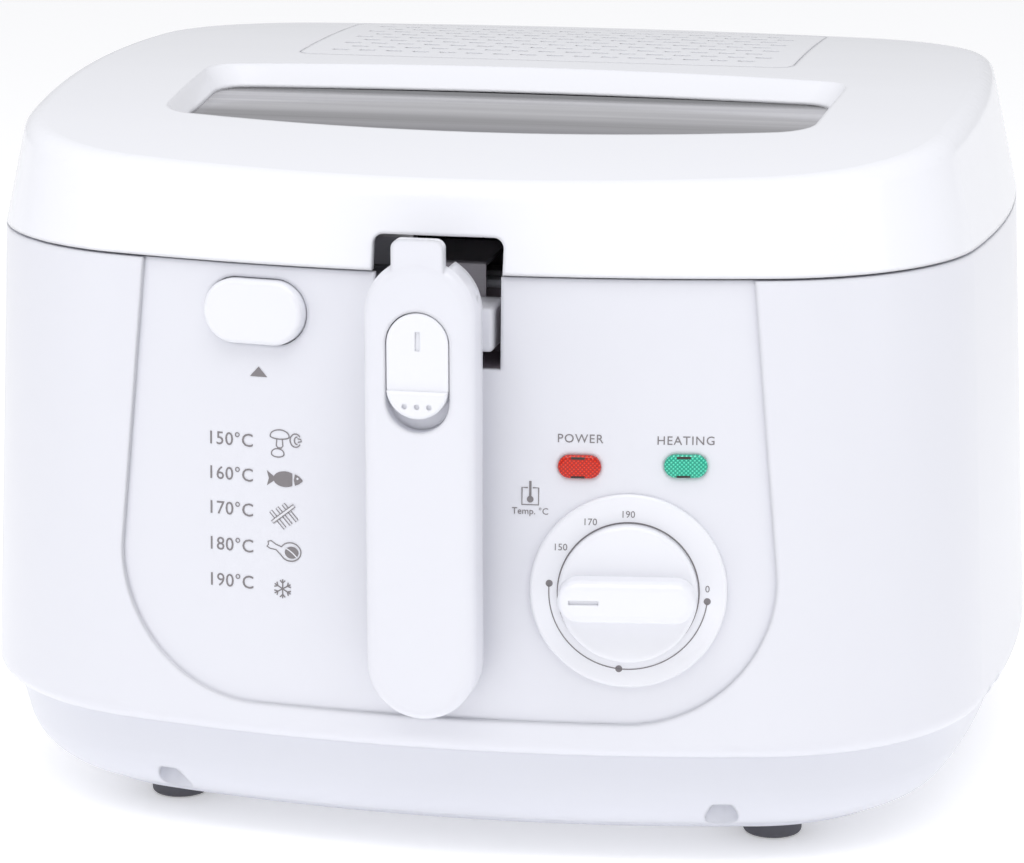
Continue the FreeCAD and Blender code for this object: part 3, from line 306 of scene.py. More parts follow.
# %% Felts
grease_felt = finish("grease_felt", (0.78, 0.78, 0.76), (0.70, 0.70, 0.68), (0.85, 0.95), group=fleck_group,
                     mask="Mask", values={"Scale": 1100.0, "Amount": 0.35}, strength=0.5, depth=0.0003,
                     shader={"Sheen Weight": 0.4})
carbon_felt = finish("carbon_felt", (0.62, 0.62, 0.64), (0.42, 0.42, 0.44), (0.85, 0.95), group=fleck_group,
                     mask="Mask", values={"Scale": 800.0, "Amount": 0.22}, strength=0.5, depth=0.0004,
                     shader={"Sheen Weight": 0.3})
dress(grease_felt, "grease_filter")
dress(carbon_felt, "charcoal_filter")

# %% [markdown]
# ## The window
# The lid's window is smoked glass: it lets some light through and mirrors the room. A plain
# grey plate would look painted, and clear glass would show too much. A Principled BSDF with
# part transmission, a grey tint and low roughness gives both. Soft bands run along it, as
# the inside of such a window is never quite dry, and its tint changes from front to back.

# %% Smoked glass
GLASS_IOR = 1.5


def glassy(name, colour, rough, transmission):
    """A tinted, partly clear material whose gloss drifts a little."""
    material = bpy.data.materials.new(name)
    material.use_nodes = True
    tree = material.node_tree
    shader = tree.nodes["Principled BSDF"]
    shader.inputs["Base Color"].default_value = (*colour, 1.0)
    shader.inputs["IOR"].default_value = GLASS_IOR
    shader.inputs["Transmission Weight"].default_value = transmission
    effect = add_node(tree, "ShaderNodeGroup")
    effect.node_tree = grain_group
    gloss = add_node(tree, "ShaderNodeMapRange")
    gloss.inputs["To Min"].default_value = rough[0]
    gloss.inputs["To Max"].default_value = rough[1]
    tree.links.new(effect.outputs["Haze"], gloss.inputs["Value"])
    tree.links.new(gloss.outputs["Result"], shader.inputs["Roughness"])
    return material, tree, shader


smoked, smoked_tree, smoked_shader = glassy("smoked_glass", (0.33, 0.33, 0.36), (0.04, 0.10), 0.2)
bands = add_node(smoked_tree, "ShaderNodeGroup")
bands.node_tree = brush_group
for label, scale in (("Along X", 2.5), ("Along Y", 90.0), ("Along Z", 14.0)):
    bands.inputs[label].default_value = scale
mist = add_node(smoked_tree, "ShaderNodeMix", data_type="RGBA")
mist.inputs["A"].default_value = (0.04, 0.038, 0.045, 1.0)
mist.inputs["B"].default_value = (0.56, 0.555, 0.58, 1.0)
smoked_tree.links.new(bands.outputs["Streak"], mist.inputs["Factor"])
print("bands and mist on", smoked.name)

# %% The window's tint from front to back
DARK_STRIP = 0.0025  # this much of the pane at its rear is darkest
pane_low, pane_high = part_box("window_pane")
pane_where = add_node(smoked_tree, "ShaderNodeTexCoord")
pane_axes = add_node(smoked_tree, "ShaderNodeSeparateXYZ")
smoked_tree.links.new(pane_where.outputs["Object"], pane_axes.inputs["Vector"])
depth = add_node(smoked_tree, "ShaderNodeMapRange")
depth.inputs["From Min"].default_value = pane_low.y
depth.inputs["From Max"].default_value = pane_high.y - DARK_STRIP
smoked_tree.links.new(pane_axes.outputs["Y"], depth.inputs["Value"])
shade = add_node(smoked_tree, "ShaderNodeValToRGB")
shade.color_ramp.elements[0].color = (0.62, 0.60, 0.70, 1.0)
shade.color_ramp.elements[1].position = 0.97
shade.color_ramp.elements[1].color = (0.06, 0.06, 0.06, 1.0)
for stop, level in ((0.50, 0.8), (0.70, 1.5), (0.90, 1.4)):
    shade.color_ramp.elements.new(stop).color = (level, level, level, 1.0)
smoked_tree.links.new(depth.outputs["Result"], shade.inputs["Fac"])
shaded = add_node(smoked_tree, "ShaderNodeMix", data_type="RGBA", blend_type="MULTIPLY")
shaded.inputs["Factor"].default_value = 1.0
smoked_tree.links.new(mist.outputs["Result"], shaded.inputs["A"])
smoked_tree.links.new(shade.outputs["Color"], shaded.inputs["B"])
smoked_tree.links.new(shaded.outputs["Result"], smoked_shader.inputs["Base Color"])
smoked_shader.inputs["Specular IOR Level"].default_value = 0.2
dress(smoked, "window_pane")

# %% [markdown]
# ## Signal lamps
# Each lamp is a tinted cap over a small neon bulb. The cap's back is moulded into tiny
# prisms that spread the glow, which is what gives these caps their crosshatch. Two wave
# textures at right angles, multiplied, make the prisms, as a bump and as a change of depth
# in the colour. A little emission stands for the glow that the cap spreads.

# %% Lamp caps and neons
PRISM_SCALE = 330.0
GLOW = 0.22


def lamp_cap(name, deep, bright):
    """A glassy material whose colour swings between two tints over a crosshatch of prisms."""
    material, tree, shader = glassy(name, bright, (0.08, 0.14), 0.25)
    where = add_node(tree, "ShaderNodeTexCoord")
    waves = []
    for turn in (45, -45):
        turned = add_node(tree, "ShaderNodeMapping")
        turned.inputs["Rotation"].default_value = (0, math.radians(turn), 0)
        wave = add_node(tree, "ShaderNodeTexWave", bands_direction="X")
        wave.inputs["Scale"].default_value = PRISM_SCALE
        tree.links.new(where.outputs["Object"], turned.inputs["Vector"])
        tree.links.new(turned.outputs["Vector"], wave.inputs["Vector"])
        waves.append(wave.outputs["Fac"])
    prisms = add_node(tree, "ShaderNodeMath", operation="MULTIPLY")
    tree.links.new(waves[0], prisms.inputs[0])
    tree.links.new(waves[1], prisms.inputs[1])
    tint = add_node(tree, "ShaderNodeMix", data_type="RGBA")
    tint.inputs["A"].default_value = (*deep, 1.0)
    tint.inputs["B"].default_value = (*bright, 1.0)
    tree.links.new(prisms.outputs["Value"], tint.inputs["Factor"])
    tree.links.new(tint.outputs["Result"], shader.inputs["Base Color"])
    tree.links.new(tint.outputs["Result"], shader.inputs["Emission Color"])
    shader.inputs["Emission Strength"].default_value = GLOW
    bump = add_node(tree, "ShaderNodeBump")
    bump.inputs["Strength"].default_value = 0.25
    bump.inputs["Distance"].default_value = 0.0002
    tree.links.new(prisms.outputs["Value"], bump.inputs["Height"])
    tree.links.new(bump.outputs["Normal"], shader.inputs["Normal"])
    return material


red_cap = lamp_cap("red_cap", (0.40, 0.006, 0.001), (0.92, 0.045, 0.006))
green_cap = lamp_cap("green_cap", (0.005, 0.30, 0.20), (0.14, 0.86, 0.62))
neon_glass = glassy("neon_glass", (0.95, 0.75, 0.60), (0.03, 0.06), 0.9)[0]
dress(red_cap, "power_lens")
dress(green_cap, "heating_lens")
dress(neon_glass, "power_neon", "heating_neon")

# %% [markdown]
# ## Where the control panel's surface is
# Marks are printed on the panel, which is part of a large, slightly flaring cylinder. Flat
# text in front of it would float at its ends. So each mark is made flat first, and each of
# its points is then laid on the panel's surface. These are the same sizes that shape the
# panel itself, in metres.

# %% Points on the panel
FRONT_RADIUS = 0.460  # curve of the front, seen from above
BODY_FRONT = 0.149    # from the middle of the body to its front at the rim
FLARE = 0.0072        # the body is this much wider at PART_Z than at RIM_Z
RIM_Z = 0.200
PART_Z = 0.042
SUNK = 0.0016         # how far the panel lies below the body's surface
middle_y = (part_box("foot_front_left")[0].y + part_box("foot_rear_left")[1].y) / 2


def on_panel(x, z, lift):
    """The point lift metres in front of the panel's surface at (x, z)."""
    out = FLARE * (RIM_Z - z) / (RIM_Z - PART_Z) - SUNK + lift
    y = FRONT_RADIUS - BODY_FRONT - math.sqrt((FRONT_RADIUS + out) ** 2 - x * x)
    return Vector((x, y + middle_y, z))


def panel_frame(x, z, step=0.001):
    """Right, inward and up directions of the panel at (x, z), from points a step away."""
    right = (on_panel(x + step, z, 0) - on_panel(x - step, z, 0)).normalized()
    up = (on_panel(x, z + step, 0) - on_panel(x, z - step, 0)).normalized()
    return right, up.cross(right).normalized(), up


print("panel surface at its middle:", [round(v, 4) for v in on_panel(0, 0.12, 0)])

# %% [markdown]
# ## Making flat marks
# Letters come from Blender's own font, turned into a mesh with a hair's thickness, like a
# layer of ink. Pictures are drawn as thin lines and filled outlines. Every mark ends up as
# a closed solid, so it also survives being exported.

# %% Words as meshes
INK_HALF = 0.00003   # half the thickness of a layer of ink
SIZE_TO_CAP = 1.38   # a font's size over the height of its capitals


def add_object(name, data):
    """A new object that holds the data, linked into the scene."""
    made = bpy.data.objects.new(name, data)
    bpy.context.scene.collection.objects.link(made)
    return made


def shown_mesh(obj):
    """The mesh that an object shows, with its curve or modifiers worked out. Removes the object."""
    bpy.context.view_layer.update()
    mesh = bpy.data.meshes.new_from_object(obj.evaluated_get(bpy.context.evaluated_depsgraph_get()))
    bpy.data.objects.remove(obj)
    return mesh


def text_mesh(words, height, spacing=1.0):
    """The words as a mesh, centred on the origin, in a layer of ink."""
    curve = bpy.data.curves.new("words", "FONT")
    curve.body = words
    curve.size = height * SIZE_TO_CAP
    curve.space_character = spacing
    curve.align_x = "CENTER"
    curve.align_y = "CENTER"
    curve.extrude = INK_HALF
    curve.resolution_u = 3
    return shown_mesh(add_object("words", curve))


print("ink", INK_HALF * 2000, "mm thick")

# %% Lines and filled shapes as meshes
def closed_mesh(name, bm):
    """Turns the faces outwards and makes a mesh of them."""
    bmesh.ops.recalc_face_normals(bm, faces=bm.faces)
    mesh = bpy.data.meshes.new(name)
    bm.to_mesh(mesh)
    bm.free()
    return mesh


def strip_mesh(lines):
    """Thin inked lines: each is (points, width) with an optional True for a closed loop."""
    bm = bmesh.new()
    for line in lines:
        points, width = line[0], line[1]
        closed = len(line) > 2
        count = len(points)
        rings = []
        for i, (x, y) in enumerate(points):
            before = points[i - 1] if i or closed else points[0]
            after = points[(i + 1) % count] if i < count - 1 or closed else points[-1]
            along = Vector((after[0] - before[0], after[1] - before[1])).normalized()
            side = Vector((-along.y, along.x)) * width / 2
            rings.append([bm.verts.new((x + sx * side.x, y + sx * side.y, sz * INK_HALF))
                          for sx, sz in ((1, 1), (-1, 1), (-1, -1), (1, -1))])
        pairs = list(zip(rings, rings[1:])) + ([(rings[-1], rings[0])] if closed else [])
        for a, b in pairs:
            for k in range(4):
                bm.faces.new((a[k], b[k], b[(k + 1) % 4], a[(k + 1) % 4]))
        if not closed:
            bm.faces.new(rings[0][::-1])
            bm.faces.new(rings[-1])
    return closed_mesh("lines", bm)


def patch_mesh(outlines):
    """Filled inked shapes, each given as its outline's points."""
    bm = bmesh.new()
    for outline in outlines:
        front = [bm.verts.new((x, y, INK_HALF)) for x, y in outline]
        back = [bm.verts.new((x, y, -INK_HALF)) for x, y in outline]
        bm.faces.new(front)
        bm.faces.new(back[::-1])
        for i in range(len(outline)):
            k = (i + 1) % len(outline)
            bm.faces.new((front[i], back[i], back[k], front[k]))
    return closed_mesh("patches", bm)


def arc(cx, cy, rx, ry, start=0.0, end=360.0, steps=24):
    """Points of an ellipse's arc, angles in degrees; a whole turn leaves out its last point."""
    count = steps if end - start >= 360 else steps + 1
    turn = [math.radians(start + (end - start) * i / steps) for i in range(count)]
    return [(cx + rx * math.cos(a), cy + ry * math.sin(a)) for a in turn]


ink = finish("grey_ink", (0.20, 0.185, 0.195), (0.23, 0.215, 0.225), (0.45, 0.55), strength=0.1)
print("mark helpers ready")

# %% Words on the panel
INK_LIFT = 0.00007   # middle of a layer of ink above the surface that it is printed on


def print_mark(name, mesh, x, z, lift=INK_LIFT, colour=ink):
    """Lays a flat mark's points on the panel round (x, z) and colours it."""
    for vertex in mesh.vertices:
        u, v, depth = vertex.co
        vertex.co = on_panel(x + u, z + v, lift + depth)
    mesh.materials.clear()
    mesh.materials.append(colour)
    mark = add_object(name, mesh)
    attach(mark, "housing")


ROW_X = -0.0681
ROW_CAPS = 0.0045
WORD_CAPS = 0.0029
SMALL_CAPS = 0.0022
rows = (("150°C", 0.1417), ("160°C", 0.1301), ("170°C", 0.1184), ("180°C", 0.1063), ("190°C", 0.0941))
for words, z in rows:
    print_mark("legend_" + words[:3], text_mesh(words, ROW_CAPS, spacing=1.04), ROW_X, z)
print_mark("word_power", text_mesh("POWER", WORD_CAPS, spacing=1.12), 0.0494, 0.1482)
print_mark("word_heating", text_mesh("HEATING", WORD_CAPS, spacing=1.12), 0.0830, 0.1480)
print_mark("word_temp", text_mesh("Temp. °C", SMALL_CAPS), 0.0335, 0.1240)
arrow = patch_mesh([[(-0.0030, -0.0016), (0.0030, -0.0016), (0, 0.0017)]])
print_mark("release_arrow", arrow, -0.0579, 0.1650)
print("printed", len(rows), "legend rows, three words and the release arrow")

# %% [markdown]
# ## Dark tabs on the lamp caps
# Each cap has a short dark bar near its top and bottom. A flat bar would stick out where
# the cap's edge turns away, so its points are lowered by the same round that the cap has.

# %% Tabs that follow the cap
LENS_PROUD = 0.0016   # how far a cap stands out of the panel
LENS_ROUND = 0.0012   # radius of the cap's rounded edge
LENS_FLAT = 0.0026    # the cap is flat up to this far above and below its middle
TAB_LIFT = 0.00014    # a tab's ink above the cap's face
TAB_X = 0.0022        # a tab's half width
TAB_Z = 0.00035       # its half height
TAB_AT = 0.0031       # its middle above or below the cap's middle
tab_dark = finish("tab_dark", (0.020, 0.016, 0.014), (0.03, 0.024, 0.02), (0.3, 0.4), strength=0.1)
for lens in ("power_lens", "heating_lens"):
    middle = sum(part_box(lens), Vector()) / 2
    tabs = patch_mesh([[(-TAB_X, z - TAB_Z), (TAB_X, z - TAB_Z), (TAB_X, z + TAB_Z), (-TAB_X, z + TAB_Z)]
                       for z in (-TAB_AT, TAB_AT)])
    for vertex in tabs.vertices:
        past = max(0.0, abs(vertex.co.y) - LENS_FLAT)
        vertex.co.z -= LENS_ROUND - math.sqrt(LENS_ROUND ** 2 - past ** 2)
    print_mark(lens.replace("lens", "tabs"), tabs, middle.x, middle.z, LENS_PROUD + TAB_LIFT, tab_dark)
print("tabs", TAB_AT * 1000, "mm from the middle of each cap")

# %% [markdown]
# ## Food pictures
# Beside each temperature stands a small picture of the food that it suits. They are drawn
# from scratch with the fewest strokes that still read at arm's length: mushrooms, a fish,
# chips, a drumstick and a snowflake for frozen food.

# %% Mushrooms and a fish
OVER_INK = 0.00016   # lift of a mark printed over another
PICTURE_X = -0.0490
thin = 0.00036
mushrooms = strip_mesh([
    (arc(-0.0016, 0.0020, 0.0033, 0.0021, -10, 190, 18), thin),
    (arc(-0.0016, 0.0019, 0.0033, 0.0009, 180, 360, 14), thin),
    ([(-0.0026, 0.0010), (-0.0028, -0.0012), (-0.0022, -0.0019), (-0.0010, -0.0019), (-0.0005, -0.0012),
      (-0.0007, 0.0010)], thin),
    (arc(0.0039, 0.0009, 0.0019, 0.0022, 35, 325, 18), thin),
    (arc(0.0043, 0.0009, 0.0008, 0.0012, 70, 290, 12), thin),
    ([(0.0046, 0.0016), (0.0057, 0.0014), (0.0060, 0.0007), (0.0047, 0.0004)], thin),
    (arc(-0.0023, -0.0038, 0.0022, 0.0016, -20, 200, 16), thin),
    (arc(-0.0023, -0.0041, 0.0021, 0.0009, 180, 360, 12), thin)])
print_mark("picture_mushrooms", mushrooms, PICTURE_X, 0.1422)
fish = patch_mesh([
    arc(0.0001, 0.0001, 0.0040, 0.0025, 50, 180, 14) + arc(0.0001, -0.0001, 0.0040, 0.0025, 180, 310, 14),
    [(0.0036, 0.0019), (0.0032, 0.0), (0.0036, -0.0019), (0.0048, -0.0014), (0.0062, -0.0004),
     (0.0062, 0.0001), (0.0050, 0.0012)],
    [(-0.0034, 0.0005), (-0.0062, 0.0025), (-0.0055, 0.0), (-0.0062, -0.0025), (-0.0034, -0.0005)]])
print_mark("picture_fish", fish, -0.0489, 0.1300)
eye = patch_mesh([arc(0.0045, 0.0005, 0.0004, 0.0004, 0, 360, 12)])
print_mark("picture_eye", eye, -0.0489, 0.1300, OVER_INK, control_white)
print("drew mushrooms and a fish")

# %% Chips
CHIP_HALF = 0.00052   # half the width of a chip
CHIP_LINE = 0.00028   # width of its outline
CHIP_Z = 0.1180
FILL_LIFT = 0.00014   # white of the top chip, over the heap's lines
TOP_LIFT = 0.00022    # its outline, over that white


def stick(x0, y0, x1, y1):
    """The four corners of a chip from one end to the other."""
    half = Vector((x1 - x0, y1 - y0)).normalized().orthogonal() * CHIP_HALF
    ends = Vector((x0, y0)), Vector((x1, y1))
    return [tuple(ends[0] + half), tuple(ends[1] + half), tuple(ends[1] - half), tuple(ends[0] - half)]


heap = [stick(-0.0048 + 0.0022 * i, 0.0010 + 0.0013 * i, 0.0002 + 0.0021 * i, -0.0044 + 0.0014 * i)
        for i in range(3)]
print_mark("picture_chips", strip_mesh([(corners, CHIP_LINE, True) for corners in heap]), PICTURE_X, CHIP_Z)
top_chip = stick(-0.0042, -0.0026, 0.0034, 0.0034)
print_mark("picture_chip_fill", patch_mesh([top_chip]), PICTURE_X, CHIP_Z, FILL_LIFT, control_white)
print_mark("picture_chip", strip_mesh([(top_chip, CHIP_LINE, True)]), PICTURE_X, CHIP_Z, TOP_LIFT)
print("drew", len(heap), "chips under one more")

# %% A drumstick
DRUM_Z = 0.1062
drumstick = strip_mesh([
    (arc(0.0021, -0.0004, 0.0036, 0.0031, -150, 150, 26), thin),
    ([(-0.0010, 0.0011), (-0.0030, 0.0018), (-0.0047, 0.0029), (-0.0058, 0.0026), (-0.0056, 0.0016),
      (-0.0062, 0.0009), (-0.0051, 0.0003), (-0.0030, 0.0), (-0.0010, -0.0019)], thin)])
print_mark("picture_drumstick", drumstick, PICTURE_X, DRUM_Z)
meat = patch_mesh([arc(0.0025, -0.0006, 0.0024, 0.0020, 0, 360, 24)])
print_mark("picture_meat", meat, PICTURE_X, DRUM_Z)
gloss_line = strip_mesh([
    ([(0.0002, 0.0009), (0.0016, 0.0002), (0.0030, -0.0008), (0.0044, -0.0022)], 0.0004)])
print_mark("picture_meat_line", gloss_line, PICTURE_X, DRUM_Z, OVER_INK, control_white)
print("drew a drumstick")

# %% A snowflake and the thermometer
SPOKE = 0.0032
KNEE = 0.0019     # where the barbs leave a spoke
BARB = 0.0013
stroke = 0.0004
flake = []
for spoke in range(6):
    angle = math.radians(30 + 60 * spoke)
    tip = (SPOKE * math.cos(angle), SPOKE * math.sin(angle))
    knee = (KNEE * math.cos(angle), KNEE * math.sin(angle))
    flake.append(([(0, 0), tip], stroke))
    for side in (-45, 45):
        barb = angle + math.radians(side)
        flake.append(([knee, (knee[0] + BARB * math.cos(barb), knee[1] + BARB * math.sin(barb))], stroke))
print_mark("picture_snowflake", strip_mesh(flake), -0.0497, 0.0932)
thermometer = strip_mesh([
    ([(-0.0008, 0.0026), (-0.0027, 0.0026), (-0.0027, -0.0030), (0.0027, -0.0030), (0.0027, 0.0026),
      (0.0008, 0.0026)], stroke),
    ([(0, 0.0048), (0, -0.0008)], 0.00075),
    (arc(0, -0.0012, 0.00055, 0.00055, 0, 360, 12), 0.0011, True)])
print_mark("picture_thermometer", thermometer, 0.0335, 0.1292)
print("drew a snowflake with", len(flake), "strokes, and a thermometer")

# %% [markdown]
# ## The dial's scale
# The ring behind the knob is flat, so its marks need only be turned to face the way it
# does. The numbers stand upright, as on the real ring, and an arc with three dots runs
# round the part of the turn that has no numbers.

# %% Marks on the dial ring
KNOB_X = 0.0655
KNOB_Z = 0.0986
DIAL_PROUD = 0.0018   # how far the ring stands out of the panel
SWEEP_R = 0.0257      # radius of the arc with the dots
# The dark line round the knob is painted shade of the gap round the knob.
GAP_SHADE_R = 0.0229        # radius of the dark line round the knob
DOT_R = 0.00115
SCALE_CAPS = 0.0023
DOTS_AT = (174.5, 264.0, 354.0)
knob_right, knob_in, knob_up = panel_frame(KNOB_X, KNOB_Z)
knob_centre = on_panel(KNOB_X, KNOB_Z, 0.0)


def print_on_dial(name, mesh, radius=0.0, angle=0.0):
    """Lays a flat mark on the dial ring, its middle at a radius and an angle in degrees."""
    dx = radius * math.cos(math.radians(angle))
    dz = radius * math.sin(math.radians(angle))
    for vertex in mesh.vertices:
        u, v, depth = vertex.co
        proud = DIAL_PROUD + INK_LIFT + depth
        vertex.co = knob_centre + knob_right * (dx + u) + knob_up * (dz + v) - knob_in * proud
    mesh.materials.clear()
    mesh.materials.append(ink)
    mark = add_object(name, mesh)
    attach(mark, "housing")


numbers = (("150", 0.0264, 147), ("170", 0.0261, 119), ("190", 0.0255, 91), ("0", 0.0256, 3))
for words, radius, angle in numbers:
    print_on_dial("scale_" + words, text_mesh(words, SCALE_CAPS), radius, angle)
sweep = strip_mesh([(arc(0, 0, SWEEP_R, SWEEP_R, DOTS_AT[0], DOTS_AT[-1], 60), thin)])
print_on_dial("scale_sweep", sweep)
dots = []
for angle in DOTS_AT:
    a = math.radians(angle)
    dots.append(arc(SWEEP_R * math.cos(a), SWEEP_R * math.sin(a), DOT_R, DOT_R, 0, 360, 20))
print_on_dial("scale_dots", patch_mesh(dots))
# A dark ink ring round the knob: painted shade of the gap round the knob.
print_on_dial("knob_gap_shade", strip_mesh([(arc(0, 0, GAP_SHADE_R, GAP_SHADE_R, 0, 360, 96), 0.00042, True)]))
print("dial faces", [round(v, 3) for v in -knob_in])

# %% [markdown]
# ## The wire basket
# A frying basket is a cage of plated wire: hoops lie round it, and wires run down one wall,
# across the floor and up the other, both ways. A texture with holes would look flat from
# close by, and a wireframe of one mesh would bend at every crossing. Curves with a round
# section are what wire is, so each wire is one spline, and crossing wires lie one over the
# other by a wire's thickness.

# %% The basket's cage
basket_low, basket_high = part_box("basket_mesh")
WIRE_R = 0.00042
WIRE_STEP = 0.0075
WIRE_MARGIN = 0.012   # no wire lies nearer than this to the side that it runs beside
EDGE_GAP = 0.0004     # keeps the wires' ends inside the basket's box
WALL_GAP = 0.0006
FLOOR_GAP = 0.0010
DRAFT = 0.005         # the walls lean in this far from top to floor
CORNER = 0.033
BEND = ((-0.0006, 0.006), (0.0004, 0.0018), (0.0022, 0.0003), (0.006, 0.0))


def basket_reach(across, low, high, shrink):
    """How far a rounded rectangle reaches at a place across it, as (low, high)."""
    edge = min(across - shrink[0], shrink[1] - across)
    cut = CORNER - math.sqrt(max(0.0, CORNER ** 2 - max(0.0, CORNER - edge) ** 2))
    return low + cut, high - cut


def cage_points(axis, place, inset):
    """One wire: down a wall, across the floor and up the other wall.

    BEND is the turn from wall to floor: how far in from the wall, and how far above the floor.
    """
    other = 1 - axis
    top = basket_high.z - EDGE_GAP
    floor = basket_low.z + FLOOR_GAP + inset
    limits = (basket_low[axis] + EDGE_GAP, basket_high[axis] - EDGE_GAP)
    low, high = basket_reach(place, basket_low[other] + WALL_GAP + inset,
                             basket_high[other] - WALL_GAP - inset, limits)
    down = [(low + DRAFT + across, floor + above) for across, above in BEND]
    up = [(high - DRAFT - across, floor + above) for across, above in reversed(BEND)]
    path = [(low, top)] + down + up + [(high, top)]
    return [(p, place, z) if other == 0 else (place, p, z) for p, z in path]


def wire_object(name, paths, radius, closed=False, resolution=2):
    """Round wires along the paths, as one curve object."""
    curve = bpy.data.curves.new(name, "CURVE")
    curve.dimensions = "3D"
    curve.bevel_depth = radius
    curve.bevel_resolution = resolution
    curve.use_fill_caps = True
    for path in paths:
        spline = curve.splines.new("POLY")
        spline.points.add(len(path) - 1)
        for point, place in zip(spline.points, path):
            point.co = (*place, 1.0)
        spline.use_cyclic_u = closed
        spline.use_smooth = True
    return add_object(name, curve)


def evenly(low, high, step):
    """Places between two ends, about a step apart, without the ends themselves."""
    count = max(2, round((high - low) / step))
    return [low + (high - low) * i / count for i in range(1, count)]


along_x = [cage_points(1, y, 0.0)
           for y in evenly(basket_low.y + WIRE_MARGIN, basket_high.y - WIRE_MARGIN, WIRE_STEP)]
along_y = [cage_points(0, x, 2 * WIRE_R)
           for x in evenly(basket_low.x + WIRE_MARGIN, basket_high.x - WIRE_MARGIN, WIRE_STEP)]
cage_x = wire_object("basket_wires_across", along_x, WIRE_R)
cage_y = wire_object("basket_wires_lengthways", along_y, WIRE_R)
print("cage wires:", len(along_x), "and", len(along_y))

# %% The basket's hoops
HOOP_STEP = 0.0078
HOOP_MARGIN = 0.004   # no hoop lies nearer than this to the basket's floor
HOOP_GAP = 0.0008     # hoops lie this far inside the lengthways wires


def hoop(z):
    """A rounded rectangle round the basket at a height, drafted like its walls."""
    share = (basket_high.z - z) / (basket_high.z - basket_low.z)
    inset = WALL_GAP + 2 * WIRE_R + DRAFT * share + HOOP_GAP
    x0, x1 = basket_low.x + inset, basket_high.x - inset
    y0, y1 = basket_low.y + inset, basket_high.y - inset
    points = []
    for cx, cy, start in ((x1 - CORNER, y0 + CORNER, -90), (x1 - CORNER, y1 - CORNER, 0),
                          (x0 + CORNER, y1 - CORNER, 90), (x0 + CORNER, y0 + CORNER, 180)):
        for step in range(9):
            angle = math.radians(start + 90 * step / 8)
            points.append((cx + CORNER * math.cos(angle), cy + CORNER * math.sin(angle), z))
    return points


heights = evenly(basket_low.z + HOOP_MARGIN, basket_high.z, HOOP_STEP)
hoops = wire_object("basket_hoops", [hoop(z) for z in heights], WIRE_R, closed=True)
for piece in (cage_x, cage_y, hoops):
    piece.data.materials.append(plated_wire)
    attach(piece, "basket")
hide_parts("basket_mesh")
print("hoops:", len(heights))

# %% [markdown]
# ## Coil springs
# The engineering model keeps each spring as a plain sleeve, because a coil is costly to
# test for collisions. Here each becomes a real coil: a point runs round the axis while it
# moves along it. Closed end turns would hide inside their seats, so they are left open. The
# release spring's sleeve is hardly longer than its button's travel, so its coil ends almost
# flat, which a real one could not.

# %% Springs
STEPS_A_TURN = 20


def coil(name, start, axis, length, radius, turns, wire, body, sleeve):
    """A coil of wire from start along axis, in place of a sleeve."""
    axis = axis.normalized()
    side = axis.orthogonal().normalized()
    across = axis.cross(side)
    steps = turns * STEPS_A_TURN
    path = []
    for i in range(steps + 1):
        a = 2 * math.pi * turns * i / steps
        out = (side * math.cos(a) + across * math.sin(a)) * radius
        path.append(start + axis * (length * i / steps) + out)
    mesh = shown_mesh(wire_object(name + "_path", [path], wire))
    spring = add_object(name, mesh)
    mesh.materials.clear()
    mesh.materials.append(plated_wire)
    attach(spring, body)
    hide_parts(sleeve)
    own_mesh(spring)


BUTTON_X = -0.0587
BUTTON_Z = 0.185
lock_low, lock_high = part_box("lock_spring")
lock_seat = Vector(((lock_low.x + lock_high.x) / 2, (lock_low.y + lock_high.y) / 2, lock_low.z))
coil("lock_coil", lock_seat + Vector((0, 0, 0.0003)), Vector((0, 0, 1)), length=0.0082, radius=0.0021,
     turns=6, wire=0.00028, body="handle", sleeve="lock_spring")
_, button_in, button_up = panel_frame(BUTTON_X, BUTTON_Z)
flange = on_panel(BUTTON_X, BUTTON_Z, 0) + button_in * 0.0059 - button_up * 0.0045
coil("release_coil", flange, button_in, length=0.0030, radius=0.0058, turns=4, wire=0.0003,
     body="housing", sleeve="release_spring")
print("made two coils")

# %% [markdown]
# ## Floor and light
# A white product looks best in a light tent: soft light from all round, with a few larger
# and brighter panels for its gloss to mirror. The world gives the tent, and area lights
# give the panels. The floor is a plain pale sheet, large enough that its edge never shows.

# %% The floor
floor_mesh = bpy.data.meshes.new("floor")
reach = 9.0
floor_mesh.from_pydata([(-reach, -reach, 0), (reach, -reach, 0), (reach, reach, 0), (-reach, reach, 0)],
                       [], [(0, 1, 2, 3)])
floor = add_object("floor", floor_mesh)
floor.location.z = cad_low.z - 0.0002
floor_paint = finish("floor_paint", (0.97, 0.97, 0.975), (0.965, 0.965, 0.97), (0.8, 0.9),
                     values={"Haze Scale": 0.8}, strength=0.02,
                     shader={"Emission Color": (1.0, 1.0, 1.0, 1.0), "Emission Strength": 0.30})
floor_mesh.materials.append(floor_paint)
print("floor at", round(floor.location.z, 4))

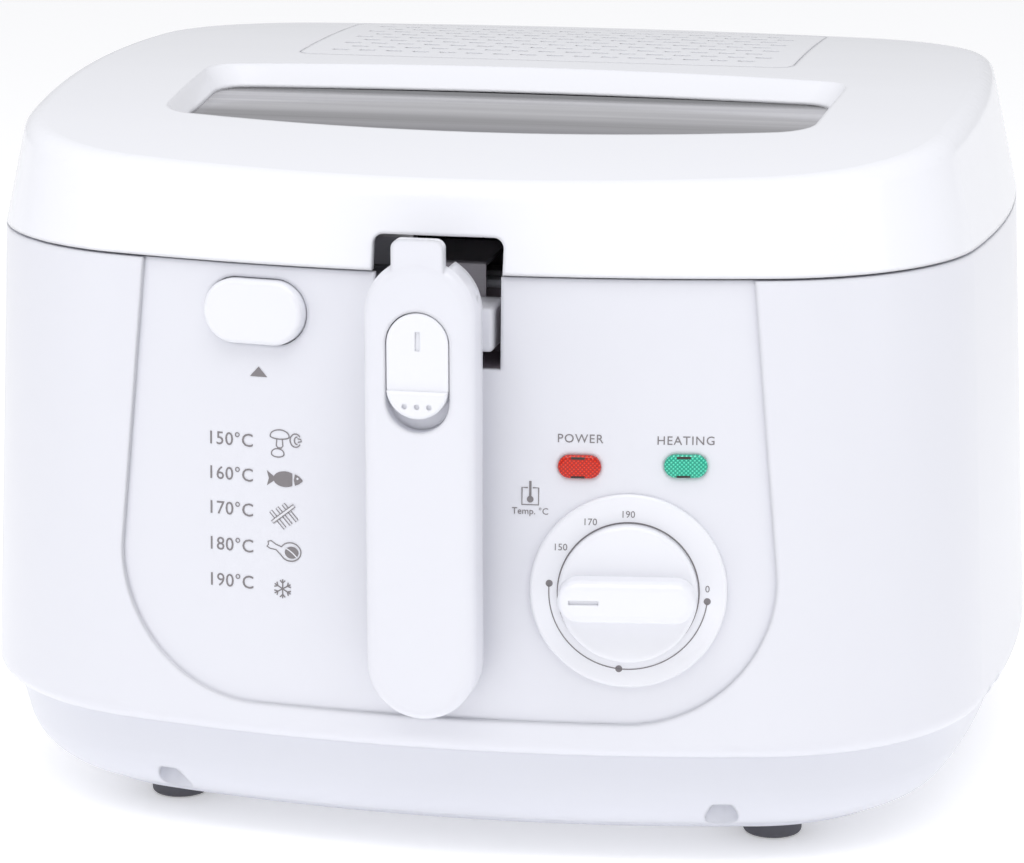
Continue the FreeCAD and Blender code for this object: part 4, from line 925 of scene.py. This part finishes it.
# %% The tent and its panels
world = bpy.data.worlds.new("tent")
bpy.context.scene.world = world
world.use_nodes = True
tent = world.node_tree.nodes["Background"]
tent.inputs["Color"].default_value = (0.975, 0.98, 1.0, 1.0)
tent.inputs["Strength"].default_value = 0.64
body_middle = Vector((0, middle_y, 0.0975))


def direction(azimuth, elevation):
    """From the body towards a place round it, in degrees; azimuth 0 is the front."""
    a, e = math.radians(azimuth), math.radians(elevation)
    return Vector((math.sin(a) * math.cos(e), -math.cos(a) * math.cos(e), math.sin(e)))


def aim(obj, away, distance):
    """Stands an object at a distance from the body's middle, looking at it."""
    obj.location = body_middle + away * distance
    obj.rotation_mode = "QUATERNION"
    obj.rotation_quaternion = (-away).to_track_quat("-Z", "Y")


def panel_light(name, azimuth, elevation, distance, size, power):
    """A soft light panel aimed at the middle of the body."""
    light = bpy.data.lights.new(name, "AREA")
    light.shape = "RECTANGLE"
    light.size, light.size_y = size
    light.energy = power
    aim(add_object(name, light), direction(azimuth, elevation), distance)


panel_light("top_panel", 10, 62, distance=1.6, size=(1.5, 0.8), power=11.5)
panel_light("left_panel", -55, 24, distance=1.7, size=(0.4, 1.4), power=2.6)
panel_light("right_panel", 70, 20, distance=1.8, size=(0.4, 1.4), power=1.8)

# %% [markdown]
# ## The camera
# The camera stands a little to the right and above, about a metre and a half away, with a
# long lens so that the near edge isn't swollen. A small lens shift frames the fryer without
# turning the camera, which keeps its upright lines as they are.

# %% Camera
camera_data = bpy.data.cameras.new("camera")
camera = add_object("camera", camera_data)
bpy.context.scene.camera = camera
aim(camera, direction(azimuth=12.0, elevation=14.0), distance=1.44)
camera_data.sensor_width = 36.0
camera_data.lens = 139.92
camera_data.shift_x = -0.0127
camera_data.shift_y = 0.0435
camera_data.clip_start = 0.05
camera_data.clip_end = 40.0
bpy.context.scene.view_settings.view_transform = "Standard"
print("camera at", [round(v, 3) for v in camera.location])

# %% [markdown]
# ## Finishing
# The view layer is brought up to date.

# %% Finish
bpy.context.view_layer.update()
